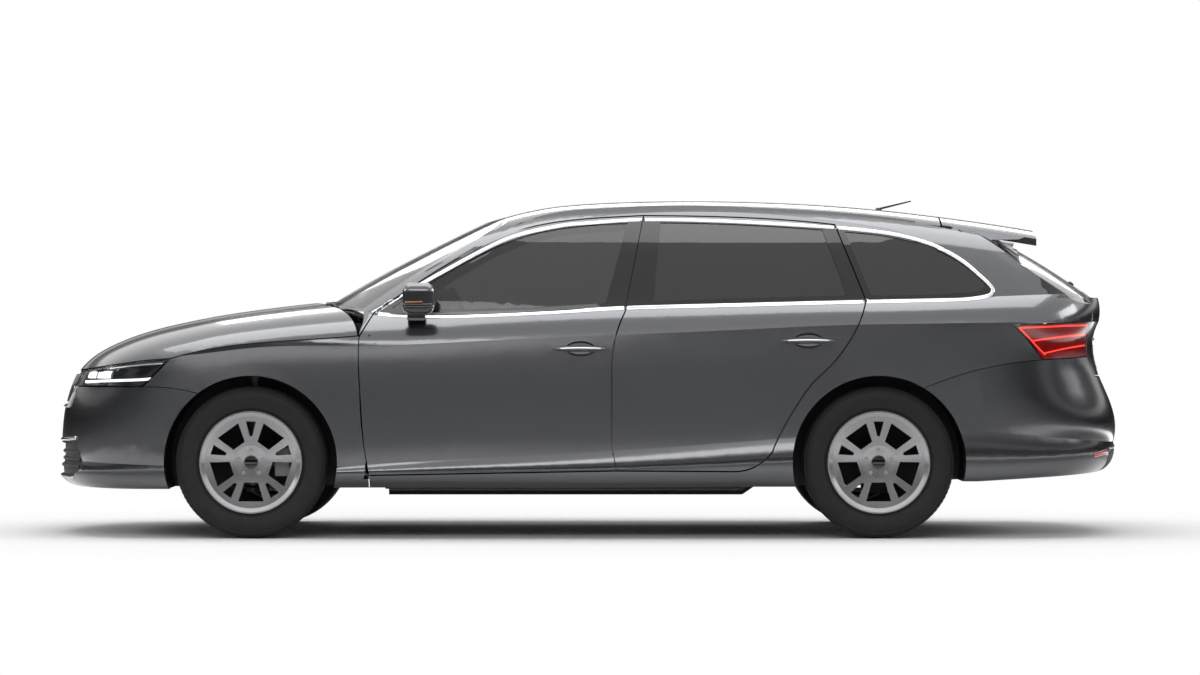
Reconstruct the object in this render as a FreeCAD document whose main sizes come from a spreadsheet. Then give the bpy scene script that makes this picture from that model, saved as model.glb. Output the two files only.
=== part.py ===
# A five-door station wagon, in millimetres.
# +Z is up, the nose points to -Y, the left side of the car is +X,
# and the origin is on the ground under the middle of the car.
import FreeCAD, Part
import math
import os

V = FreeCAD.Vector
doc = FreeCAD.newDocument("station_wagon")

# Driving dimensions
SIZES = {
    "wheel_base": 2686,
    "front_overhang": 905,
    "rear_overhang": 1098,
    "body_width": 1829,
    "belt_height": 1000,
    "roof_height": 1466,
    "track_front": 1543,
    "track_rear": 1535,
    "tyre_width": 205,
    "tyre_diameter": 652,
    "rim_diameter": 438,
    "rim_lip": 10,
    "hub_bore": 60,
    "bolt_circle": 112,
    "bolt_bore": 14,
    "disc_diameter": 288,
    "disc_thickness": 22,
    "arch_radius": 371,
    "arch_liner_gap": 6,
    "arch_liner_wall": 5,
    "arch_liner_inboard": 478,
    "shut_gap": 6,
    "panel_gap": 3,
    "door_skin": 20,
    "door_depth": 110,
    "frame_skin": 14,
    "frame_depth": 45,
    "door_step": 45,
    "door_clear": 12,
    "pillar_depth": 62,
    "panel_clear": 12,
    "pillar_wall": 24,
    "handle_proud": 40,
    "handle_length": 236,
    "handle_height": 30,
    "handle_cup_depth": 24,
    "hinge_pin": 8,
    "hinge_slack": 0.3,
    "glass_thickness": 5,
    "glass_recess": 4,
    "roof_half_width": 572,
    "roof_thickness": 28,
    "bonnet_thickness": 24,
    "bumper_depth": 70,
    "floor_thickness": 22,
    "floor_height": 200,
    "seat_gap": 0.3,
    "radiator_width": 809.4,
    "radiator_depth": 40,
    "radiator_height": 309.4,
    "engine_width": 640,
    "engine_depth": 420,
    "engine_height": 480,
}
sheet = doc.addObject("Spreadsheet::Sheet", "sizes")
for row, (alias, value) in enumerate(SIZES.items(), start=1):
    sheet.set("A%d" % row, alias)
    sheet.set("B%d" % row, str(value))
    sheet.setAlias("B%d" % row, alias)
doc.recompute()


def size(alias):
    """A driving dimension, read from the sheet."""
    return float(sheet.get(alias))


# Stations and heights of the side drawing in which the outlines below are given
DRAWN_NOSE = -2344.5
DRAWN_FRONT_AXLE = -1439.5
DRAWN_REAR_AXLE = 1246.5
DRAWN_TAIL = 2344.5
DRAWN_BELT = 1000
DRAWN_ROOF = 1466
DRAWN_WIDTH = 1829
ROOF_REAR = 1536

length = size("front_overhang") + size("wheel_base") + size("rear_overhang")
front_axle = size("front_overhang") - length / 2
rear_axle = front_axle + size("wheel_base")
axle_height = size("tyre_diameter") / 2


def between(table_in, table_out, value):
    """Straight-line reading of one row of a table against another."""
    last = len(table_in) - 2
    i = 0
    while i < last and value > table_in[i + 1]:
        i += 1
    share = (value - table_in[i]) / (table_in[i + 1] - table_in[i])
    return table_out[i] + (table_out[i + 1] - table_out[i]) * share


def along(y):
    """Place along the car of a station of the side drawing."""
    drawn = (DRAWN_NOSE, DRAWN_FRONT_AXLE, DRAWN_REAR_AXLE, DRAWN_TAIL)
    real = (-length / 2, front_axle, rear_axle, length / 2)
    return between(drawn, real, y)


def up(z):
    """Height of a level of the side drawing."""
    return between((0, DRAWN_BELT, DRAWN_ROOF), (0, size("belt_height"), size("roof_height")), z)


def across(x):
    """Distance from the middle plane of a drawn half-width."""
    return x * size("body_width") / DRAWN_WIDTH


def fuse(solids):
    """One shape from touching or overlapping solids."""
    solids = list(solids)
    whole = solids[0].multiFuse(solids[1:]) if len(solids) > 1 else solids[0]
    return whole.Solids[0] if len(whole.Solids) == 1 else Part.makeCompound(whole.Solids)


def mirrored(shape):
    """The same shape on the other side of the car."""
    return shape.mirror(V(0, 0, 0), V(1, 0, 0))


def both_sides(shape):
    """A left-hand piece and its right-hand twin, kept apart."""
    return Part.makeCompound(shape.Solids + mirrored(shape).Solids)


def box(x0, x1, y0, y1, z0, z1):
    """A block between three pairs of planes."""
    return Part.makeBox(x1 - x0, y1 - y0, z1 - z0, V(x0, y0, z0))


def feature(name, shape):
    """Put a finished shape in the document as a sub-part."""
    node = doc.addObject("Part::Feature", name)
    node.Shape = shape
    node.Label = name
    nodes.append(node)
    return node


nodes = []

# Outlines in the side view.
# An outline is a list of runs, each starting where the one before it ends.
# A run of two points is straight, and a longer one is a smooth curve.


def drawn(runs):
    """An outline of the side drawing, at the car's own size."""
    return [[(along(y), up(z)) for y, z in run] for run in runs]


def offset(runs, distance):
    """The outline moved outwards by a distance, or inwards by a negative one."""
    ring = [point for run in runs for point in run[:-1]]
    area = sum(a[0] * b[1] - b[0] * a[1] for a, b in zip(ring, ring[1:] + ring[:1]))
    turn = 1 if area > 0 else -1
    moved = []
    for i, (y, z) in enumerate(ring):
        before = ring[i - 1]
        after = ring[(i + 1) % len(ring)]
        first = math.atan2(z - before[1], y - before[0])
        second = math.atan2(after[1] - z, after[0] - y)
        bend = (second - first + math.pi) % (2 * math.pi) - math.pi
        angle = first + bend / 2 - turn * math.pi / 2
        reach = distance / max(math.cos(bend / 2), 0.35)
        moved.append((y + reach * math.cos(angle), z + reach * math.sin(angle)))
    result = []
    start = 0
    for run in runs:
        count = len(run)
        result.append([moved[(start + k) % len(moved)] for k in range(count)])
        start += count - 1
    return result


def wire(runs, place):
    """The closed wire of an outline, where place turns two numbers into a point."""
    edges = []
    for run in runs:
        points = [place(*point) for point in run]
        if len(points) == 2:
            edges.append(Part.makeLine(*points))
        else:
            curve = Part.BSplineCurve()
            curve.interpolate(Points=points)
            edges.append(curve.toShape())
    return Part.Wire(edges)


def side_prism(runs, x0, x1):
    """A side-view outline made solid between two distances from the middle plane."""
    return Part.Face(wire(runs, lambda y, z: V(x0, y, z))).extrude(V(x1 - x0, 0, 0))


def rear_prism(runs, y0, y1):
    """An outline of width and height made solid along the car."""
    return Part.Face(wire(runs, lambda x, z: V(x, y0, z))).extrude(V(0, y1 - y0, 0))


def plan_prism(runs, z0, z1):
    """An outline in plan view made solid between two heights."""
    return Part.Face(wire(runs, lambda x, y: V(x, y, z0))).extrude(V(0, 0, z1 - z0))


def polygon(*points):
    """An outline with straight runs only."""
    return [[a, b] for a, b in zip(points, points[1:] + points[:1])]


# Outer skin.
# Each row is a level line round the left half of the car, from the middle of the nose
# to the middle of the tail: its heights at the stations, its half-width, and where it
# crosses the middle plane at the nose and the tail. The plan view of a row is a
# squared-off oval at each end with a nearly straight side between the axles.
HEIGHT_STATIONS = (-2344, -1440, -950, 130, 1157, 1600, 2344)
SIDE_STATIONS = (-1440, -950, -400, 130, 650, 1157, 1300)
LOWER_FULLNESS = (0.985, 0.995, 1.0, 1.0, 0.998, 0.99, 0.985)
UPPER_FULLNESS = (0.9, 0.945, 0.985, 1.0, 0.998, 0.985, 0.975)
NOSE_ANGLES = (90, 76, 62, 49, 37, 26, 16, 8, 2.5)
TAIL_ANGLES = (3, 9, 17, 27, 38, 50, 63, 76, 90)
NOSE_SQUARENESS = 4
TAIL_SQUARENESS = 6

ROWS = {
    "underside": ((205, 215, 218, 218, 225, 240, 283), 862, -2240, 2290),
    "rocker": ((250, 240, 240, 240, 255, 262, 305), 893, -2341, 2316),
    "lower crease": ((330, 300, 317, 378, 450, 470, 400), 900, -2340, 2336),
    "flank": ((480, 520, 520, 560, 600, 610, 560), 903, -2336, 2327),
    "upper flank": ((600, 690, 700, 720, 745, 740, 690), 907, -2314, 2270),
    "shoulder": ((710, 815, 825, 871, 915, 922, 930), 914.5, -2262, 2270),
    "over shoulder": ((760, 880, 885, 925, 965, 975, 990), 890, -2235, 2276),
    "belt": ((830, 950, 962, 985, 1018, 1030, 1060), 835, -2200, 2262),
    "window middle": ((1190,) * 7, 752, -2100, 2180),
    "window top": ((1376,) * 7, 612, -2000, 2080),
    "above roof": ((1480,) * 7, 500, -1900, 2000),
}


def corner(half, start, end, squareness, angle):
    """A plan-view point of the squared-off oval that closes a row at one end of the car."""
    turn = math.radians(angle)
    return half * math.cos(turn), start + (end - start) * math.sin(turn) ** (2 / squareness)


def row_points(name, fullness, inset=0):
    """Points of one level line, from the middle of the nose to the middle of the tail."""
    heights, half, nose, tail = ROWS[name]
    half -= inset
    nose += inset
    tail -= inset
    front = (half * fullness[0], SIDE_STATIONS[0], nose, NOSE_SQUARENESS)
    rear = (half * fullness[-1], SIDE_STATIONS[-1], tail, TAIL_SQUARENESS)
    plan = [corner(*front, angle) for angle in NOSE_ANGLES]
    plan += [(half * share, y) for y, share in zip(SIDE_STATIONS, fullness)]
    plan += [corner(*rear, angle) for angle in TAIL_ANGLES]
    return [V(across(x), along(y), up(between(HEIGHT_STATIONS, heights, y))) for x, y in plan]


def spread(points):
    """Even parameters, by distance, for the points of a curve."""
    reach = [0]
    for a, b in zip(points, points[1:]):
        reach.append(reach[-1] + (b - a).Length)
    return [r / reach[-1] for r in reach]


def skin(rows, rates=None):
    """One smooth face through rows of points, each row a curve and so each column."""
    rates = rates or spread(rows[len(rows) // 2])
    curves = []
    for points in rows:
        curve = Part.BSplineCurve()
        curve.interpolate(Points=points, Parameters=rates)
        curves.append(curve)
    steps = spread([points[len(points) // 2] for points in rows])
    columns = []
    for poles in zip(*[curve.getPoles() for curve in curves]):
        column = Part.BSplineCurve()
        column.interpolate(Points=list(poles), Parameters=steps)
        columns.append(column)
    first, cross = curves[0], columns[0]
    surface = Part.BSplineSurface()
    surface.buildFromPolesMultsKnots([column.getPoles() for column in columns],
                                     first.getMultiplicities(), cross.getMultiplicities(),
                                     first.getKnots(), cross.getKnots(),
                                     False, False, first.Degree, cross.Degree)
    return surface.toShape()


# The side is four bands that meet in the creases at the lower door, the shoulder and the belt.
level_lines = [row_points(name, LOWER_FULLNESS if i < 7 else UPPER_FULLNESS) for i, name in enumerate(ROWS)]
SIDE_COLUMNS = slice(4, -3)
side_lines = [line[SIDE_COLUMNS] for line in level_lines]
side_rates = spread(side_lines[5])
BANDS = ((0, 3), (2, 6), (5, 8), (7, 11))
bands = [skin(side_lines[a:b], side_rates) for a, b in BANDS]
WINDOW_BAND = 3
SIDE_REACH = 400


def side_core(lower, upper):
    """Everything inside the left skin, moved in by one depth below the belt and another above it."""
    solids = []
    for i, band in enumerate(bands):
        moved = band.copy()
        moved.translate(V(-(upper if i == WINDOW_BAND else lower), 0, 0))
        solids.append(moved.extrude(V(-SIDE_REACH, 0, 0)))
    return fuse(solids)


def crowned(profile, laterals):
    """A face across the car: a middle line carried outwards, swept back and dropped."""
    rows = []
    for x, sweep, drop in [(-x, s, d) for x, s, d in reversed(laterals[1:])] + list(laterals):
        rows.append([V(across(x), along(y + sweep), up(z - drop)) for y, z in profile])
    return skin(rows)


ROOF_LINE = ((-700, 1300), (-446, 1371), (-215, 1430), (54, 1457), (420, 1466), (949, 1453),
             (1300, 1426), (1640, 1385), (1951, 1338), (2150, 1300))
ROOF_CROWN = ((0, 0, 0), (250, 0, 4), (450, 0, 20), (565, 0, 52), (610, 0, 76), (700, 0, 190))
SCREEN_LINE = ((-1330, 895), (-1110, 1028), (-931, 1131), (-752, 1225), (-573, 1314), (-300, 1440))
SCREEN_CROWN = ((0, 0, 0), (220, 14, 0), (420, 64, 0), (560, 124, 0), (650, 176, 0), (780, 275, 0),
                (930, 400, 0))
TAIL_GLASS_LINE = ((1700, 1352), (1882, 1262), (2020, 1182), (2139, 1105), (2237, 1034), (2360, 935))
TAIL_GLASS_CROWN = ((0, 0, 0), (250, -12, 0), (430, -42, 0), (560, -82, 0), (680, -140, 0),
                    (800, -220, 0), (930, -320, 0))

roof_skin = crowned(ROOF_LINE, ROOF_CROWN)
screen_skin = crowned(SCREEN_LINE, SCREEN_CROWN)
tail_glass_skin = crowned(TAIL_GLASS_LINE, TAIL_GLASS_CROWN)

# The bonnet's stations: the middle line and the edge beside it, which falls to the wing
BONNET_STATIONS = (
    ((-2295, 640), (640, -2170, 660)),
    ((-2255, 719), (700, -2110, 716)),
    ((-2183, 786), (765, -2040, 730)),
    ((-2094, 835), (812, -1960, 742)),
    ((-2004, 871), (846, -1880, 752)),
    ((-1825, 920), (876, -1740, 776)),
    ((-1646, 956), (890, -1600, 808)),
    ((-1467, 983), (894, -1440, 828)),
    ((-1289, 1005), (896, -1260, 844)),
    ((-1100, 1024), (895, -1080, 858)),
    ((-930, 1040), (890, -920, 870)),
)
# Share of the half-width and share of the fall at each place across the bonnet
BONNET_CROWN = ((0, 0), (0.35, 0.05), (0.62, 0.17), (0.8, 0.34), (0.91, 0.56), (0.97, 0.78), (1, 1),
                (1.01, 1.25))


def bonnet_rows():
    """Rows of the bonnet along the car, from the right edge to the left."""
    rows = []
    for share, fall in [(-s, f) for s, f in reversed(BONNET_CROWN[1:])] + list(BONNET_CROWN):
        row = []
        for (y, z), (edge_x, edge_y, edge_z) in BONNET_STATIONS:
            back = (edge_y - y) * abs(share) ** 2.2
            row.append(V(across(share * edge_x), along(y + back), up(z + (edge_z - z) * fall)))
        rows.append(row)
    return rows


bonnet_skin = skin(bonnet_rows())

REACH = 3000
above_roof = roof_skin.extrude(V(0, 0, REACH))
under_roof = roof_skin.extrude(V(0, 0, -REACH))
ahead_of_screen = screen_skin.extrude(V(0, -REACH, 0))
behind_tail_glass = tail_glass_skin.extrude(V(0, REACH, 0))
END_REACH = 900
NOSE_COLUMNS = len(NOSE_ANGLES)
TAIL_COLUMNS = len(TAIL_ANGLES)
END_BANDS = BANDS[:3]
OPEN_BELOW = 12


def end_core(columns, direction, inset=0):
    """Everything behind the skin of the nose or the tail, from side to side."""
    lines = []
    for name in list(ROWS)[:8]:
        half = row_points(name, LOWER_FULLNESS, inset)[columns]
        if inset and name == "underside":
            half = [V(p.x, p.y, p.z - OPEN_BELOW) for p in half]
        if direction < 0:
            half.reverse()
        other = [V(-p.x, p.y, p.z) for p in reversed(half[1:])]
        lines.append(other + half)
    rates = spread(lines[5])
    return fuse(skin(lines[a:b], rates).extrude(V(0, direction * END_REACH, 0)) for a, b in END_BANDS)


def nose_core(inset=0):
    """Everything behind the skin of the nose, moved in by an inset."""
    return end_core(slice(0, NOSE_COLUMNS), 1, inset)


def tail_core(inset=0):
    """Everything ahead of the skin of the tail, moved in by an inset."""
    return end_core(slice(-TAIL_COLUMNS, None), -1, inset)


def slab(face, near, far, direction=V(-1, 0, 0)):
    """A skin made solid between two depths behind its surface."""
    moved = face.copy()
    moved.translate(direction * near)
    return moved.extrude(direction * (far - near))


# Side-view outlines of the panels
FRONT_SHUT = [(-919, 961), (-975, 862), (-978, 740), (-972, 634), (-956, 406), (-932, 272)]
MIDDLE_SHUT = [(125, 291), (104, 389), (104, 715), (136, 912), (161, 969), (244, 1389)]
REAR_SHUT = [(617, 288), (715, 308), (789, 373), (863, 520), (969, 675), (1156, 912), (1194, 1019),
             (1070, 1349)]
FRONT_DOOR = drawn([
    [FRONT_SHUT[-1], MIDDLE_SHUT[0]],
    MIDDLE_SHUT[0:2],
    MIDDLE_SHUT[1:3],
    MIDDLE_SHUT[2:5],
    MIDDLE_SHUT[4:6],
    [MIDDLE_SHUT[-1], (-120, 1362), (-297, 1323), (-430, 1268), (-628, 1160), FRONT_SHUT[0]],
    FRONT_SHUT[0:2],
    FRONT_SHUT[1:],
])
REAR_DOOR = drawn([
    [MIDDLE_SHUT[0], REAR_SHUT[0]],
    REAR_SHUT[0:3],
    REAR_SHUT[2:5],
    REAR_SHUT[4:7],
    REAR_SHUT[6:8],
    [REAR_SHUT[-1], (876, 1368), (560, 1384), MIDDLE_SHUT[-1]],
    [MIDDLE_SHUT[5], MIDDLE_SHUT[4]],
    [MIDDLE_SHUT[4], MIDDLE_SHUT[3], MIDDLE_SHUT[2]],
    [MIDDLE_SHUT[2], MIDDLE_SHUT[1]],
    [MIDDLE_SHUT[1], MIDDLE_SHUT[0]],
])
FRONT_WINDOW = drawn([
    [(-850, 984), (-400, 980), (80, 1004)],
    [(80, 1004), (179, 1360)],
    [(179, 1360), (-120, 1335), (-297, 1293), (-430, 1237), (-628, 1128), (-850, 984)],
])
REAR_WINDOW = drawn([
    [(278, 1012), (700, 1024), (1118, 1036)],
    [(1118, 1036), (1018, 1330)],
    [(1018, 1330), (876, 1341), (560, 1357), (312, 1362)],
    [(312, 1362), (278, 1012)],
])
QUARTER_WINDOW = drawn([
    [(1214, 1036), (1500, 1040), (1680, 1052)],
    [(1680, 1052), (1722, 1080)],
    [(1722, 1080), (1602, 1190), (1478, 1254), (1318, 1298), (1108, 1322)],
    [(1108, 1322), (1214, 1036)],
])
LAMP_TAIL = (-1782, 768)
LAMP_HEEL = (-1901, 648)
WING = drawn([
    [(-972, 634), (-956, 406), (-932, 272)],
    [(-932, 272), (-932, 180)],
    [(-932, 180), (-1250, 180)],
    [(-1250, 180), (-1500, 600)],
    [(-1500, 600), (-1680, 625)],
    [(-1680, 625), (-1745, 639), LAMP_HEEL],
    [LAMP_HEEL, LAMP_TAIL],
    [LAMP_TAIL, (-1623, 807), (-1300, 843), (-975, 866)],
    [(-975, 866), (-978, 740), (-972, 634)],
])
FRONT_BUMPER = drawn([
    [(-1500, 600), (-1680, 625)],
    [(-1680, 625), (-1745, 639), LAMP_HEEL],
    [LAMP_HEEL, (-2420, 646)],
    [(-2420, 646), (-2420, 150)],
    [(-2420, 150), (-1500, 150)],
    [(-1500, 150), (-1500, 600)],
])
HEADLAMP = drawn([
    [LAMP_HEEL, LAMP_TAIL],
    [LAMP_TAIL, (-1960, 752), (-2176, 722), (-2420, 712)],
    [(-2420, 712), (-2420, 646)],
    [(-2420, 646), LAMP_HEEL],
])
TAIL_LAMP = drawn([
    [(1819, 913), (1880, 850), (1947, 764)],
    [(1947, 764), (2420, 790)],
    [(2420, 790), (2420, 934)],
    [(2420, 934), (2232, 930), (1819, 913)],
])
REAR_BUMPER = drawn([
    [(1400, 300), (1434, 642)],
    [(1434, 642), (1516, 675), (1947, 764)],
    [(1947, 764), (2420, 790)],
    [(2420, 790), (2420, 150)],
    [(2420, 150), (1400, 150)],
    [(1400, 150), (1400, 300)],
])
BODY_SIDE = drawn([
    [(-932, 180), (1400, 180)],
    [(1400, 180), (1434, 642)],
    [(1434, 642), (1516, 675), (1947, 764)],
    [(1947, 764), (1880, 850), (1819, 913)],
    [(1819, 913), (2232, 930), (2420, 934)],
    [(2420, 934), (2420, 1500)],
    [(2420, 1500), (-1060, 1500)],
    [(-1060, 1500), (-1045, 984)],
    [(-1045, 984), (-966, 972)],
    [(-966, 972), (-962, 930), (-975, 884)],
    [(-975, 884), (-975, 866)],
    [(-975, 866), (-978, 740), (-972, 634)],
    [(-972, 634), (-956, 406), (-932, 272)],
    [(-932, 272), (-932, 180)],
])

def front_view(runs):
    """An outline of width and height, at the car's own size."""
    return [[(across(x), up(z)) for x, z in run] for run in runs]


TAILGATE = front_view([
    [(-530, 693), (530, 693)],
    [(530, 693), (548, 760), (562, 930), (574, 1034), (585, 1190), (584, 1270)],
    [(584, 1270), (566, 1400)],
    [(566, 1400), (-566, 1400)],
    [(-566, 1400), (-584, 1270)],
    [(-584, 1270), (-585, 1190), (-574, 1034), (-562, 930), (-548, 760), (-530, 693)],
])

SCREEN_OUTLINE = [
    [(-706, 985), (0, 985), (706, 985)],
    [(706, 985), (640, 1170), (566, 1345)],
    [(566, 1345), (300, 1400), (0, 1410), (-300, 1400), (-566, 1345)],
    [(-566, 1345), (-640, 1170), (-706, 985)],
]
INTO_SCREEN = V(0, 0.45, -0.9)
INTO_TAIL = V(0, -0.85, -0.53)

SIDE_IN = 250
SIDE_OUT = 1100
half_gap = size("shut_gap") / 2
panel_gap = size("panel_gap") / 2


tailgate_cut = rear_prism(offset(TAILGATE, half_gap), along(ROOF_REAR), REACH)


def arch(axle, extra=0):
    """The round opening over one left wheel."""
    return Part.makeCylinder(size("arch_radius") + extra, SIDE_OUT, V(SIDE_IN, axle, axle_height), V(1, 0, 0))


front_arch = arch(front_axle)
rear_arch = arch(rear_axle)


outer_core = side_core(0, 0)
skin_core = side_core(size("door_skin"), size("frame_skin"))
rebate_core = side_core(size("pillar_depth"), size("frame_skin") + size("panel_clear"))
inner_core = side_core(size("door_depth"), size("frame_depth"))


def door_panel(outline, window, arches, rooms):
    """A left door: full outline at the skin, stepped in behind it, with its window and hinge room cut."""
    full = side_prism(offset(outline, -half_gap), SIDE_IN, SIDE_OUT)
    for opening in arches:
        full = full.cut(opening)
    stepped = side_prism(offset(outline, -size("door_step")), SIDE_IN, SIDE_OUT)
    for opening in arches:
        stepped = stepped.cut(arch(rear_axle, size("door_step")))
    step = full.cut(stepped).common(skin_core)
    pane = side_prism(offset(window, -size("glass_recess")), SIDE_IN, SIDE_OUT)
    return fuse(full.common(outer_core).cut([inner_core, step, pane, *rooms]).Solids)


def door_opening(outline):
    """What a door takes out of the body side, and the inner frame that stays behind it."""
    cut = side_prism(offset(outline, half_gap), SIDE_IN, SIDE_OUT)
    inner = side_prism(offset(outline, size("door_clear") - size("door_step")), SIDE_IN, SIDE_OUT)
    frame = cut.cut(inner).common(rebate_core).cut(inner_core)
    return cut, frame


# Door hinges: a goose-neck arm from the pillar round the door's stepped edge to an upright pin
PIN = size("hinge_pin") / 2
PIN_ROOM = PIN + size("hinge_slack")
HINGE_TALL = 36
HINGE_LEVELS = (650, 810)
FRONT_HINGE = (895, -930)
REAR_HINGE = (897, 149)


def door_hinge(place):
    """The arms and pins of one left door, and the room they take out of the door."""
    x, y = across(place[0]), along(place[1])
    arms = []
    rooms = []
    for level in HINGE_LEVELS:
        z = up(level)
        arms.append(box(x - 50, x, y - PIN, y + PIN, z, z + HINGE_TALL))
        arms.append(box(x - 62, x - 46, y - 35, y + PIN, z, z + HINGE_TALL))
        arms.append(Part.makeCylinder(PIN, HINGE_TALL + 40, V(x, y, z - 20)))
        room = Part.makeCylinder(75, HINGE_TALL + 12, V(x, y, z - 6))
        rooms.append(room.common(box(x - 80, x + PIN + 1, y - 80, y + 80, 0, REACH)))
        rooms.append(Part.makeCylinder(PIN_ROOM, HINGE_TALL + 52, V(x, y, z - 26)))
    return arms, rooms


# The lower doors stand out beyond their hinge lines, so a corner sweeps ahead of the door as it opens.
# Each sweep is given as a height and the reach from the hinge line, with clearance.
FRONT_SWEEP = ((256, 28), (288, 28), (300, 25), (312, 20), (330, 16))
REAR_SWEEP = ((262, 36), (285, 38.5), (310, 39.5), (340, 41), (370, 43.5), (400, 46))


def sweep_room(place, sweep):
    """The turned solid that a left door's lower front corner sweeps about its hinge line."""
    x, y = across(place[0]), along(place[1])
    points = [V(x + reach, y, up(level)) for level, reach in sweep]
    points += [V(x, y, up(sweep[-1][0])), V(x, y, up(sweep[0][0]))]
    return Part.Face(Part.makePolygon(points + points[:1])).revolve(V(x, y, 0), V(0, 0, 1), 360)


front_arms, front_rooms = door_hinge(FRONT_HINGE)
rear_arms, rear_rooms = door_hinge(REAR_HINGE)

# Body side with its pillars, sill and rear quarter
front_cut, front_frame = door_opening(FRONT_DOOR)
rear_cut, rear_frame = door_opening(REAR_DOOR)
quarter_pane = side_prism(offset(QUARTER_WINDOW, -size("glass_recess")), SIDE_IN, SIDE_OUT)
roof_side = box(0, across(size("roof_half_width")), -REACH, REACH, up(1330), REACH)
side_blank = side_prism(offset(BODY_SIDE, -panel_gap), SIDE_IN, SIDE_OUT).cut([rear_arch, roof_side])
side_wall = side_blank.cut([front_cut, rear_cut, quarter_pane]).common(outer_core).cut(inner_core)
frames = [frame.common(side_blank) for frame in (front_frame, rear_frame)]
lamp_bracket = box(across(560), across(800), along(1880), along(1960), up(780), up(1000))
lamp_bracket = lamp_bracket.common(tail_core(size("bumper_depth") + size("seat_gap")))


def pillar_face(skin_face, low, high, way, rooms):
    """The face of a pillar between the edge of the glass or lid and the side skin."""
    zone = rear_prism(front_view(polygon((480, low), (900, low), (900, high), (480, high))), -REACH, REACH)
    face = skin_face.common(zone).Faces[0]
    wall = slab(face, 0, size("pillar_wall"), way).common(outer_core).common(side_blank)
    return wall.cut([*rooms, front_cut, rear_cut, quarter_pane, above_roof])


GLASS_SUNK = 0.5
glass_back = GLASS_SUNK + size("glass_thickness")
screen_prism = rear_prism(offset(front_view(SCREEN_OUTLINE), size("seat_gap")), -REACH, REACH)
screen_room = slab(screen_skin.common(screen_prism).Faces[0], -2, glass_back + size("seat_gap"), INTO_SCREEN)
screen_pillar = pillar_face(screen_skin, 960, 1420, INTO_SCREEN, [screen_prism, screen_room])
tail_pillar = pillar_face(tail_glass_skin, 1010, 1420, INTO_TAIL, [tailgate_cut])
pieces = [side_wall, *frames, lamp_bracket, screen_pillar, tail_pillar, *front_arms, *rear_arms]
body_side = fuse([solid for piece in pieces for solid in piece.Solids])
body_side = body_side.cut([above_roof, ahead_of_screen, behind_tail_glass, tailgate_cut])
feature("body_side_left", body_side)
feature("body_side_right", mirrored(body_side))

# Doors with their glass and mirrors, the right-hand ones mirrored from the left


def pane(window):
    """Side glass just inside its frame, a little behind the skin."""
    edge = side_prism(offset(window, -size("glass_recess") - size("seat_gap")), SIDE_IN, SIDE_OUT)
    face = bands[WINDOW_BAND].common(edge).Faces[0]
    return slab(face, size("glass_recess"), size("glass_recess") + size("glass_thickness"))


def ellipsoid(place, half_x, half_y, half_z):
    """A rounded body with its own half size along each axis."""
    scaled = FreeCAD.Matrix()
    scaled.scale(half_x / 100, half_y / 100, half_z / 100)
    body = Part.makeSphere(100).transformGeometry(scaled)
    body.translate(place)
    return body


def with_handle(door, y, z):
    """The door with a hollow for the fingers and a bow handle across it."""
    y, z = along(y), up(z)
    ray = Part.makeLine(V(600, y, z), V(SIDE_OUT, y, z)).common(outer_core)
    place = V(ray.BoundBox.XMax, y, z)
    length, height = size("handle_length"), size("handle_height")
    cup = ellipsoid(place, size("handle_cup_depth"), length * 0.27, height * 1.1)
    bow = ellipsoid(place, size("handle_proud"), length / 2, height / 2)
    bow = bow.cut(box(0, place.x - 12, -REACH, REACH, 0, REACH))
    return fuse([*door.cut(cup).Solids, *bow.cut(cup).Solids])


front_door = door_panel(FRONT_DOOR, FRONT_WINDOW, [], [*front_rooms, sweep_room(REAR_HINGE, REAR_SWEEP)])
rear_door = door_panel(REAR_DOOR, REAR_WINDOW, [rear_arch], rear_rooms)
feature("door_front_left", with_handle(front_door, -29, 812))
feature("door_rear_left", with_handle(rear_door, 943, 846))
feature("door_glass_front_left", pane(FRONT_WINDOW))
feature("door_glass_rear_left", pane(REAR_WINDOW))

mirror_head = box(872, 1001, along(-786), along(-650), 958, 1092)
mirror_head = mirror_head.makeFillet(38, mirror_head.Edges)
mirror_foot = box(800, 900, along(-770), along(-690), 930, 985)
mirror_foot = mirror_foot.makeFillet(12, mirror_foot.Edges)
feature("mirror_left", fuse(mirror_head.fuse(mirror_foot).cut(outer_core).Solids))
for left in list(nodes[2:]):
    twin = doc.addObject("Part::Mirroring", left.Label.replace("left", "right"))
    twin.Source = left
    twin.Normal = V(1, 0, 0)
    twin.Label = left.Label.replace("left", "right")
    nodes.append(twin)

feature("quarter_glasses", both_sides(pane(QUARTER_WINDOW)))

# Bonnet, opening about its rear corners, and the room it takes out of its neighbours
BONNET_REAR = [(-905, -975), (-800, -1012), (-600, -1092), (-300, -1176), (0, -1205),
               (300, -1176), (600, -1092), (800, -1012), (905, -975)]
bonnet_side = drawn([
    [LAMP_TAIL, (-1623, 807), (-1300, 843), (-975, 866)],
    [(-975, 866), (-900, 1200)],
    [(-900, 1200), (-2500, 1200)],
    [(-2500, 1200), (-2420, 712)],
    [(-2420, 712), (-2176, 722), (-1960, 752), LAMP_TAIL],
])


def bonnet_plan(shift, nose_shift=0):
    """Plan outline from the curve of the nose to the bonnet's rear edge, each moved along."""
    edge = [(across(x), along(y) + shift) for x, y in BONNET_REAR]
    nose = [(p.x, p.y + nose_shift) for p in level_lines[5][:NOSE_COLUMNS - 1]]
    nose = [(-x, y) for x, y in reversed(nose[1:])] + nose
    side = edge[-1][0] + 30
    shoulder = along(-1600)
    return [edge, [edge[-1], (side, edge[-1][1])], [(side, edge[-1][1]), (side, shoulder)],
            [(side, shoulder), nose[-1]], nose[::-1], [nose[0], (-side, shoulder)],
            [(-side, shoulder), (-side, edge[0][1])], [(-side, edge[0][1]), edge[0]]]


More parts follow.
